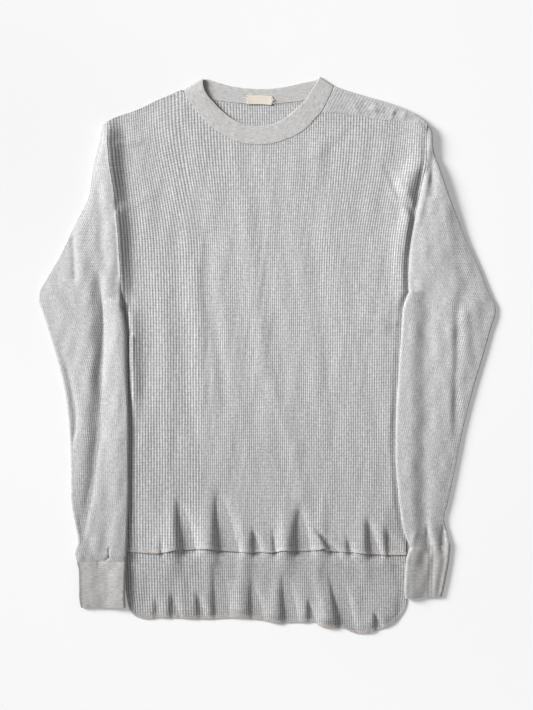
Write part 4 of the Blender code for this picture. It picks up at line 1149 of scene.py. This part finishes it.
def make_neckband():
    """The neckband, a ring whose sections are evened out along its seam."""
    ends = band_sections()
    for _ in range(2):
        ends = (np.roll(ends, 1, 0) + 2 * ends + np.roll(ends, -1, 0)) / 4
    # Even steps along the seam.
    run = np.linalg.norm(np.diff(np.concatenate([ends, ends[:1]]).mean(1), axis=0), axis=1)
    at = np.concatenate([[0], np.cumsum(run)])
    wanted = np.linspace(0, at[-1], BAND_STEPS, endpoint=False)
    closed_ends = np.concatenate([ends, ends[:1]])
    ends = np.stack(
        [[np.interp(wanted, at, closed_ends[:, e, c]) for c in range(3)] for e in range(2)]
    ).transpose(2, 0, 1)
    seam, free = ends[:, 0], ends[:, 1]
    across = free - seam
    width = np.linalg.norm(across, axis=1, keepdims=True)
    across = across / width
    middle = (seam + free) / 2
    tangent = np.roll(middle, -1, 0) - np.roll(middle, 1, 0)
    up = np.cross(across, tangent)
    up /= np.linalg.norm(up, axis=1, keepdims=True)
    up *= np.sign(up[20, 2])
    half = RIB / 2
    flat = width - half
    upper = [(0, 0.75), (0.02, 0.92), (0.05, 1), (0.1, 1)]
    upper += [(t, 1) for t in np.linspace(0.2, 1, 9)]
    order, cells = [], []
    for p, h in upper:
        order.append(seam + across * flat * p + up * half * h)
        cells.append(p)
    for a in np.radians((67.5, 45, 22.5, 0, -22.5, -45, -67.5)):
        order.append(seam + across * (flat + half * math.cos(a)) + up * half * math.sin(a))
        cells.append(1.06 - 0.06 * math.sin(a))
    for p, h in upper[::-1]:
        order.append(seam + across * flat * p - up * half * h)
        cells.append(2.12 - p)
    ring_points = np.stack(order, 1)  # section by section
    wide = ring_points.shape[1]
    points = ring_points.reshape(-1, 3)
    ids = np.arange(BAND_STEPS * wide).reshape(BAND_STEPS, wide)
    a, b = ids, np.roll(ids, -1, 0)
    faces = np.stack([a, np.roll(a, -1, 1), np.roll(b, -1, 1), b], -1).reshape(-1, 4)
    u = np.repeat(wanted, wide)
    v = np.tile(np.array(cells) * BAND_WIDTH, BAND_STEPS)
    cells = np.stack([u, v], -1)
    made = (points, faces.tolist(), cells, np.ones(len(points)), np.full(len(faces), True))
    return piece("neckband_jersey", outward(made), jersey)


def outward(form):
    """The shell with its faces turned out, whichever way they were listed."""
    points, faces, *rest = form
    volume = 0.0
    for f in faces:
        a = points[f[0]]
        for i in range(1, len(f) - 1):
            volume += float(np.dot(a, np.cross(points[f[i]], points[f[i + 1]])))
    if volume < 0:
        faces = [f[::-1] for f in faces]
    return points, faces, *rest


def make_label():
    """The woven tape, its corners lifting a little and its cut ends fraying."""
    turn = math.radians(LABEL["turn"])
    columns, rows = 36, 14
    u, v = np.meshgrid(np.linspace(-0.5, 0.5, columns), np.linspace(-0.5, 0.5, rows))
    u, v = u.T.ravel(), v.T.ravel()
    dx, dy = u * LABEL["width"], v * LABEL["depth"]
    worn = (abs(u) * 2) ** 8  # the cut ends are frayed and a little uneven
    dx = dx + worn * (0.5 * np.sin(11 * v + 1 + 3 * u) + 0.35 * np.sin(31 * v - 2 * u))
    dy = dy + 0.6 * np.sin(7 * u + 1) * abs(v)

    def turned(along, across):
        return (
            LABEL["x"] + along * math.cos(turn) - across * math.sin(turn),
            LABEL["y"] + along * math.sin(turn) + across * math.cos(turn),
        )

    x, y = turned(dx, dy)
    z = LABEL_Z + 0.5 * (abs(u) * 2) ** 3 * (0.4 + 0.6 * (v < 0)) + 0.12 * np.sin(7 * u + 5 * v)
    cloth = {
        "line": np.repeat(np.arange(columns), rows), "key": np.tile(np.arange(rows), columns),
        "mid": np.stack([x, y, z], -1), "normal": np.tile([0.0, 0.0, 1.0], (len(x), 1)),
        "u": dx, "v": dy, "shown": np.ones(len(x)), "lowered": np.zeros(len(x)),
    }
    kept = (cloth["line"] % 5 == 0) & (cloth["key"] % 13 == 0)
    loose, t = [], np.linspace(0, 1, 6)
    for along, across, length, heading in LABEL_FRAY:
        heading = math.radians(heading)
        tx, ty = turned(
            along + length * t * math.cos(heading),
            across + length * (t * math.sin(heading) + 0.12 * np.sin(4 * t)),
        )
        tz = LABEL_Z + 0.4 + 0.5 * np.sin(2 * t)
        loose.append(strand(np.stack([tx, ty, tz], -1), 0.45))
    return piece("label_tape", joined(shell(cloth, 0.6, kept), *loose), tape)


# ---- thread -----------------------------------------------------------------------------
STITCH = 1.7  # length of an overlocked stitch along the edge
BITE = 4.6  # how far in from the edge it reaches


def strand(path, radius, sides=5):
    """A round thread along a path, with its ends closed."""
    path = np.array(path, float)
    tangent = np.gradient(path, axis=0)
    tangent /= np.linalg.norm(tangent, axis=1, keepdims=True)
    side = np.cross(tangent, [0.0, 0.0, 1.0])
    flat = np.linalg.norm(side, axis=1, keepdims=True)
    side = np.where(flat > 0.05, side / np.maximum(flat, 1e-6), [1.0, 0.0, 0.0])
    other = np.cross(side, tangent)
    angle = np.linspace(0, 2 * math.pi, sides, endpoint=False)
    around = side[:, None] * np.cos(angle)[:, None] + other[:, None] * np.sin(angle)[:, None]
    points = (path[:, None] + radius * around).reshape(-1, 3)
    faces = []
    for n in range(len(path) - 1):
        for i in range(sides):
            j = (i + 1) % sides
            faces.append((n * sides + i, n * sides + j, (n + 1) * sides + j, (n + 1) * sides + i))
    faces.append(tuple(range(sides))[::-1])
    faces.append(tuple((len(path) - 1) * sides + i for i in range(sides)))
    faces = [f[::-1] for f in faces]
    cells = np.repeat(np.arange(len(path)), sides)
    cells = np.stack([cells, cells * 0.0], -1)
    return points, faces, cells, np.ones(len(points)), np.full(len(faces), True)


def overlocked(name, x, hem, height, seed):
    """Serged stitches over a cut edge: a looper thread back and forth, and a needle line."""
    draw = random.Random(seed)
    path = np.stack([x, curve(hem, x)], -1)
    run = run_length(*path.T)
    at = np.arange(0.6, run[-1], STITCH)
    x, y = np.interp(at, run, path[:, 0]), np.interp(at, run, path[:, 1])
    slope = np.stack([np.gradient(x), np.gradient(y)], -1)
    slope /= np.linalg.norm(slope, axis=1, keepdims=True)
    into = np.stack([-slope[:, 1], slope[:, 0]], -1)
    looper, needle = [], []

    def on_face(px, py, lift):
        return (px, py, float(height(np.array(px), np.array(py))) + KNIT / 2 + lift)

    for n in range(len(at)):
        deep = BITE + draw.uniform(-0.3, 0.3)
        slant = draw.uniform(-0.25, 0.25)
        for reach, shift, lift in (
            (-0.3, 0, -1.0), (-0.25, 0.15, -0.2), (0.3, 0.25, 0.06), (2.4, 0.5, 0.06),
            (deep, 0.85 + slant, 0.0), (2.4, 1.15, 0.1), (0.3, 1.45, 0.08), (-0.25, 1.6, -0.2),
        ):
            px = x[n] + into[n, 0] * reach + slope[n, 0] * shift
            py = y[n] + into[n, 1] * reach + slope[n, 1] * shift
            looper.append(on_face(px, py, lift))
        px = x[n] + into[n, 0] * (deep - 0.2)
        py = y[n] + into[n, 1] * (deep - 0.2)
        needle.append(on_face(px, py, 0.0))
        needle.append(on_face(px + slope[n, 0] * 0.85, py + slope[n, 1] * 0.85, 0.16))
    made = joined(strand(looper, 0.24, 4), strand(needle, 0.17, 4))
    return piece(name, made, thread)


# ---- finishes ---------------------------------------------------------------------------
# The knit's ribs are painted lit and its wells painted in shade.
WELL_SHADED = (0.1399, 0.1409, 0.1511)
RIDGE_LIT = (0.4572, 0.4525, 0.4488)
PLAIN = (0.3266, 0.3247, 0.3247)
JERSEY_DARK = (0.3266, 0.3219, 0.3144)
JERSEY_LIGHT = (0.3965, 0.39, 0.3807)
TAPE_DARK, TAPE_LIGHT = (0.48, 0.435, 0.37), (0.55, 0.5, 0.43)
THREAD_DARK, THREAD_LIGHT = (0.49, 0.457, 0.44), (0.64, 0.605, 0.585)


class Wire:
    """A shader value that can be used in sums."""

    def __init__(self, finish, socket):
        self.finish, self.socket = finish, socket

    def math(self, operation, *values):
        values = dict(enumerate(values))
        return self.finish.node("ShaderNodeMath", {"operation": operation}, values)

    def __add__(self, other):
        return self.math("ADD", self, other)

    def __radd__(self, other):
        return self.math("ADD", other, self)

    def __sub__(self, other):
        return self.math("SUBTRACT", self, other)

    def __rsub__(self, other):
        return self.math("SUBTRACT", other, self)

    def __mul__(self, other):
        return self.math("MULTIPLY", self, other)

    def __rmul__(self, other):
        return self.math("MULTIPLY", other, self)

    def __pow__(self, other):
        return self.math("POWER", self, other)


class Finish:
    """One cloth's material and the nodes that feed it."""

    def __init__(self, name, roughness, sheen):
        self.material = bpy.data.materials.new(name)
        self.material.use_nodes = True
        self.tree = self.material.node_tree
        self.shader = self.tree.nodes["Principled BSDF"]
        self.shader.inputs["Roughness"].default_value = roughness
        self.shader.inputs["Specular IOR Level"].default_value = 0.25
        self.shader.inputs["Sheen Weight"].default_value = sheen
        self.shader.inputs["Sheen Roughness"].default_value = 0.6

    def node(self, kind, settings=None, values=None, out=0):
        """Any node, from its type, its settings and the values or links of its sockets."""
        made = self.tree.nodes.new(kind)
        for name, value in (settings or {}).items():
            setattr(made, name, value)
        for name, value in (values or {}).items():
            if isinstance(value, Wire):
                self.tree.links.new(value.socket, made.inputs[name])
            else:
                made.inputs[name].default_value = value
        return Wire(self, made.outputs[out])

    def feed(self, name, wire):
        self.tree.links.new(wire.socket, self.shader.inputs[name])

    def cells(self):
        """Place in the knit, in cells across and along, or in millimetres on jersey."""
        place = self.node("ShaderNodeUVMap", {"uv_map": "cells"})
        made = self.node("ShaderNodeSeparateXYZ", values={0: place})
        return made, Wire(self, made.socket.node.outputs[1])

    def noise(self, x, y, detail=2.0, roughness=0.5):
        """Uneven light and dark, its grain as wide as x and y are stretched."""
        place = self.node("ShaderNodeCombineXYZ", values={0: x, 1: y})
        values = {"Vector": place, "Scale": 1.0, "Detail": detail, "Roughness": roughness}
        return self.node("ShaderNodeTexNoise", values=values)

    def shown(self):
        """How strongly the knit shows at each point, or how light the jersey is."""
        # Below 0 it holds painted light; on the jersey it also holds painted shade and painted
        # light.
        return self.node("ShaderNodeAttribute", {"attribute_name": "shown"}, out=2)

    def painted_light(self, shown):
        """Painted light along a folded edge turned from the lamp, where the knit shows below 0."""
        return shown.math("MAXIMUM", 0 - shown, 0.0)

    def wave(self, turns):
        """1 at whole turns, 0 half way between."""
        angle = turns * (2 * math.pi)
        return angle.math("COSINE", angle) * 0.5 + 0.5

    def mix(self, share, low, high):
        colours = [c if isinstance(c, Wire) else (*c, 1) for c in (low, high)]
        values = {0: share, 6: colours[0], 7: colours[1]}
        return self.node("ShaderNodeMix", {"data_type": "RGBA"}, values, 2)

    def scaled(self, colour, factor):
        """A colour made lighter or darker."""
        grey = self.node("ShaderNodeCombineColor", values={0: factor, 1: factor, 2: factor})
        settings = {"data_type": "RGBA", "blend_type": "MULTIPLY"}
        return self.node("ShaderNodeMix", settings, {0: 1.0, 6: colour, 7: grey}, 2)

    def bump(self, height, strength, distance):
        values = {"Strength": strength, "Distance": distance, "Height": height}
        self.feed("Normal", self.node("ShaderNodeBump", values=values))


def waffle_finish():
    """Heather waffle: upright ribs painted lit, wells painted in shade, mixed fibres, painted edge
    light.
    """
    f = Finish("heather waffle knit", 0.92, 0.08)
    u, v = f.cells()
    shown = f.shown()
    upright = f.wave(u + (f.noise(u * 0.6, v * 0.9) - 0.5) * 0.26) ** 1.2
    level = f.wave(v)
    ridge = upright * (0.9 + level * 0.1) + (1 - upright) * level * 0.28
    fibre = f.noise(u * 4.0, v * 2.4, 3.0, 0.6)
    melange = f.noise(u * 1.1, v * 0.8, 3.0, 0.65)
    streak = f.noise(u * 2.1, v * 0.2)
    cloud = f.noise(u * 0.05, v * 0.04)
    # Ribs painted lit and wells painted in shade.
    tone = f.mix(ridge, WELL_SHADED, RIDGE_LIT)
    tone = f.mix(shown, PLAIN, tone)
    light = 1.045 + (fibre - 0.5) * 0.95 + (melange - 0.5) * 1.05 + (streak - 0.5) * 0.3
    # Lighter where the share is below 0: painted light on folds turned from the lamp.
    light = (light + (cloud - 0.5) * 0.14) * (1 + f.painted_light(shown))
    f.feed("Base Color", f.scaled(tone, light))
    f.bump(ridge * 0.6 + fibre * 0.5, 0.35, 0.0004)
    return f.material


def jersey_finish():
    """Plain heather jersey: fine lines along the band, flecked and streaked with fibres."""
    f = Finish("heather plain jersey", 0.9, 0.08)
    u, v = f.cells()
    shown = f.shown()
    line = f.wave(v * 0.62 + (f.noise(u * 0.12, v * 0.4) - 0.5) * 0.8)
    fibre = f.noise(u * 0.8, v * 2.4, 3.0, 0.65)
    melange = f.noise(u * 0.14, v * 0.7, 3.0, 0.65)
    cloud = f.noise(u * 0.03, v * 0.06)
    light = 0.945 + line * 0.06 + (fibre - 0.5) * 1.0 + (melange - 0.5) * 1.15
    # Times the share: painted shade in the cuff's stitch grooves, painted light on its fold turned
    # from the lamp.
    light = (light + (cloud - 0.5) * 0.15) * shown
    tone = f.mix(melange, JERSEY_DARK, JERSEY_LIGHT)
    f.feed("Base Color", f.scaled(tone, light))
    f.bump(line * 0.5 + fibre * 0.5, 0.3, 0.0003)
    return f.material


def tape_finish():
    """Ecru woven cotton tape."""
    f = Finish("ecru woven tape", 0.88, 0.05)
    u, v = f.cells()
    warp = f.wave(u * 1.6)
    weft = f.wave(v * 1.6)
    slub = f.noise(u * 0.4, v * 2.5)
    weave = warp * 0.5 + weft * 0.5
    light = 0.94 + weave * 0.1 + (slub - 0.5) * 0.2
    f.feed("Base Color", f.scaled(f.mix(slub, TAPE_DARK, TAPE_LIGHT), light))
    f.bump(weave, 0.4, 0.0002)
    return f.material


def thread_finish():
    """Matt sewing thread, a pinkish beige."""
    f = Finish("beige serging thread", 0.8, 0.1)
    u, v = f.cells()
    ply = f.noise(u * 1.3, v + 0.3)
    f.feed("Base Color", f.mix(ply, THREAD_DARK, THREAD_LIGHT))
    f.bump(ply, 0.2, 0.0001)
    return f.material


# ---- light: one wide lamp low on the left, whose pool fades towards the tail ------------
KEY = {
    "turn": 22, "height": 29, "soft": 18.2, "distance": 2.5, "centre": (-0.05, 0.19),
    "reach": 0.85, "power": 1300,
}
AMBIENT = 0.38
KEY_AXIS = (
    -math.cos(math.radians(KEY["height"])) * math.cos(math.radians(KEY["turn"])),
    math.cos(math.radians(KEY["height"])) * math.sin(math.radians(KEY["turn"])),
    math.sin(math.radians(KEY["height"])),
)
# The pool that the wide lamp makes, and how its light falls off with distance.
FLOOR_TONE = {"least": 0.461, "most": 0.98, "key_share": 0.77, "reach": 0.85, "far": 0.175}
FLOOR_PAINTED_LIGHT = 0.2  # painted light: the floor glows a little, which lifts the shadows cast on it
FAR_PAINTED_LIGHT = 0.56  # more of that painted light where the lamp's pool has ended


def floor_finish():
    """Matt and pale, toned against the fall of the light so that it looks even; it glows with
    painted light.
    """
    f = Finish("pale floor", 0.9, 0.0)
    f.shader.inputs["Specular IOR Level"].default_value = 0.0
    f.shader.inputs["Sheen Weight"].default_value = 0.0
    f.shader.inputs["Emission Strength"].default_value = 1.0
    f.material.cycles.emission_sampling = "NONE"
    place = f.node("ShaderNodeTexCoord", out=3)
    across = f.node("ShaderNodeSeparateXYZ", values={0: place})
    along = Wire(f, across.socket.node.outputs[1])
    across, along = across - KEY["centre"][0], along - KEY["centre"][1]
    on_axis = across * KEY_AXIS[0] + along * KEY_AXIS[1]
    away = across * across + along * along - on_axis * on_axis
    pool = away.math("EXPONENT", away * (-1 / FLOOR_TONE["reach"] ** 2))
    lit = FLOOR_TONE["key_share"] * pool + (1 - FLOOR_TONE["key_share"])
    tone = lit.math("DIVIDE", FLOOR_TONE["least"], lit)
    wanted = tone * (1 - on_axis * FLOOR_TONE["far"])
    tone = wanted.math("MINIMUM", wanted, FLOOR_TONE["most"])
    # Where the pool of light ends, more painted light glows from the floor in its place.
    missing = 1 - tone.math("DIVIDE", tone, wanted.math("MAXIMUM", wanted, 0.05))
    painted_glow = FLOOR_PAINTED_LIGHT + missing * FAR_PAINTED_LIGHT
    f.feed("Emission Color", f.node("ShaderNodeCombineColor", values={0: painted_glow, 1: painted_glow, 2: painted_glow}))
    grain = f.node("ShaderNodeTexNoise", values={"Vector": place, "Scale": 30.0, "Detail": 3.0})
    f.feed("Base Color", f.scaled(f.mix(grain, (0.995,) * 3, (1.0,) * 3), tone))
    return f.material


waffle, jersey, tape, thread = waffle_finish(), jersey_finish(), tape_finish(), thread_finish()


# ---- the top ----------------------------------------------------------------------------
def beside_pleat(pleat, offset, half, low, high, seed):
    """Knit that shows most along one side of a sleeve's pleat."""

    def shown(x, y):
        away = x - curve(pleat, y) - offset
        wave = 0.12 * ripples(x, y, seed, (14, 50), (30, 120))
        return np.clip(low + (high - low) * np.exp(-((away / half) ** 2)) + wave, 0.05, 1)

    return shown


def sleeve_dents(tables, folds, seed):
    """A sleeve's pleats and creases, with small uneven waves between them."""

    def dents(x, y):
        small = 0.22 * ripples(x, y, seed, (16, 45), (40, 160))
        return valleys(x, y, tables) + folds_at(x, y, folds) + small

    return dents


def cuff_dents(seed, tables, above, seam_y):
    """Dents that take over from the sleeve's at the seam."""

    def dents(x, y):
        own = valleys(x, y, tables) + 0.2 * ripples(x, y, seed, (14, 40), (30, 90))
        share = ease((seam_y - y) / 16)
        return share * own + (1 - share) * above(x, np.maximum(y, seam_y))

    return dents


def stitch_groove_shade(x, y):
    """How far the light reaches into the cuff's two sunken rows of stitches, painted as shade."""
    deep = curve(CUFF_LEFT_STITCH_SHADE, y, 3)
    away = np.minimum(*(abs(x - curve(CUFF_LEFT_STITCH_SHADE, y, column)) for column in (1, 2)))
    return 1 - deep * np.exp(-((away / 1.1) ** 2))


def make_sleeve(name, stations, gaps, rounding, dents, shown):
    """A sleeve, open towards the body from the shoulder down to the armpit."""
    look = {
        "row": ROW, "wale": SLEEVE_WALE, "depth": SLEEVE_HOLLOW, "edge": 0.06, "gaps": gaps,
        "rounding": rounding, "dents": dents, "shown": shown,
    }
    return make_tube(name, stations, CAP_ROWS - 1, KNIT, waffle, look)


def make_cuff(name, stations, sleeve, gaps, dents, shown):
    """A cuff whose first row is drawn up against the sleeve's end."""
    outer_x, outer_y, inner_x, inner_y, *_ = sleeve[-1]
    first = (outer_x, outer_y - SEAM, inner_x, inner_y - SEAM, *stations[0][4:])

    def draw_in(cloth):
        """Rounds the sewn end, and gives the jersey its place in millimetres."""
        near = cloth["line"]
        sewn_end = 0.3 * (1 - np.maximum(near - 1, 0) / 4) ** 2
        cloth["lowered"] = np.where(near < 5, sewn_end, cloth["lowered"])
        cloth["u"], cloth["v"] = cloth["u"] * CUFF_WALE, cloth["v"] * COURSE

    look = {
        "row": CUFF_ROW, "wale": CUFF_WALE, "depth": 0.0, "edge": 0.1, "gaps": gaps,
        "rounding": ROUND_CUFF, "dents": dents, "shown": shown, "change": draw_in,
    }
    return make_tube(name, (first, *stations[1:]), 0, RIB, jersey, look)


GAPS_RIGHT = (INNER_GAP_RIGHT, OUTER_GAP_RIGHT, SUNK_RIGHT)
GAPS_LEFT = (INNER_GAP_LEFT, OUTER_GAP_LEFT, SUNK_LEFT)
right_dents = sleeve_dents(SLEEVE_RIGHT_VALLEYS, SLEEVE_RIGHT_FOLDS, 31)
left_dents = sleeve_dents(SLEEVE_LEFT_VALLEYS, SLEEVE_LEFT_FOLDS, 32)

front = make_front()
back = make_back()
sleeve_right = make_sleeve(
    "sleeve_right_cloth", SLEEVE_RIGHT, GAPS_RIGHT, ROUND_RIGHT, right_dents,
    beside_pleat(SLEEVE_RIGHT_VALLEYS[0], -9, 10, 0.22, 0.8, 41),
)
sleeve_left = make_sleeve(
    "sleeve_left_cloth", SLEEVE_LEFT, GAPS_LEFT, ROUND_LEFT, left_dents,
    beside_pleat(SLEEVE_LEFT_VALLEYS[1], 4, 14, 0.25, 0.7, 42),
)
cuff_right = make_cuff(
    "cuff_right_jersey", CUFF_RIGHT, SLEEVE_RIGHT, GAPS_RIGHT,
    cuff_dents(51, CUFF_RIGHT_VALLEYS, right_dents, -289.6), lambda x, y: np.ones(np.shape(x)),
)
cuff_left = make_cuff(
    "cuff_left_jersey", CUFF_LEFT, SLEEVE_LEFT, GAPS_LEFT,
    cuff_dents(52, CUFF_LEFT_VALLEYS, left_dents, -267), stitch_groove_shade,
)
neckband = make_neckband()
label = make_label()
hem_front = overlocked(
    "front_hem_thread", np.linspace(-199, 193.5, 300), HEM_FRONT, front_height, 61
)
hem_back = overlocked(
    "tail_hem_thread", np.linspace(-193.4, 194.8, 400), HEM_BACK, back_height, 62
)

for made, node in (
    (front, "front"), (back, "back"), (sleeve_right, "sleeve_right"),
    (sleeve_left, "sleeve_left"), (cuff_right, "cuff_right"), (cuff_left, "cuff_left"),
    (neckband, "neckband"), (label, "label"),
):
    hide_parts(node)
for made in (
    front, back, sleeve_right, sleeve_left, cuff_right, cuff_left, neckband, label,
    hem_front, hem_back,
):
    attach(made, "root")

# ---- floor, light, camera ---------------------------------------------------------------
bpy.ops.mesh.primitive_grid_add(size=14, x_subdivisions=8, y_subdivisions=8)
floor = bpy.context.object
floor.name = "floor"
floor.location = (0, 0, -0.0001)
floor.data.materials.append(floor_finish())

world = bpy.data.worlds.new("studio")
world.use_nodes = True
world.node_tree.nodes["Background"].inputs["Color"].default_value = (1, 1, 1, 1)
world.node_tree.nodes["Background"].inputs["Strength"].default_value = AMBIENT
bpy.context.scene.world = world

turn, height = math.radians(KEY["turn"]), math.radians(KEY["height"])
lamp = bpy.data.lights.new("key", "SPOT")
lamp.energy = KEY["power"]
lamp.shadow_soft_size = KEY["distance"] * math.tan(math.radians(KEY["soft"]))
lamp.spot_size, lamp.spot_blend = 2 * math.atan(KEY["reach"] / KEY["distance"]), 1
key_light = bpy.data.objects.new("key", lamp)
to_light = Vector(KEY_AXIS)
key_light.location = Vector((*KEY["centre"], 0)) + to_light * KEY["distance"]
key_light.rotation_euler = to_light.to_track_quat("Z", "Y").to_euler()
bpy.context.scene.collection.objects.link(key_light)

DISTANCE, SENSOR, SEEN = 3.2, 36, 0.994
camera = bpy.data.objects.new("camera", bpy.data.cameras.new("camera"))
camera.data.sensor_width = SENSOR
camera.data.lens = SENSOR * DISTANCE / SEEN
camera.location = (-0.0007, 0, DISTANCE)
bpy.context.scene.collection.objects.link(camera)
bpy.context.scene.camera = camera
bpy.context.scene.view_settings.view_transform = "Standard"
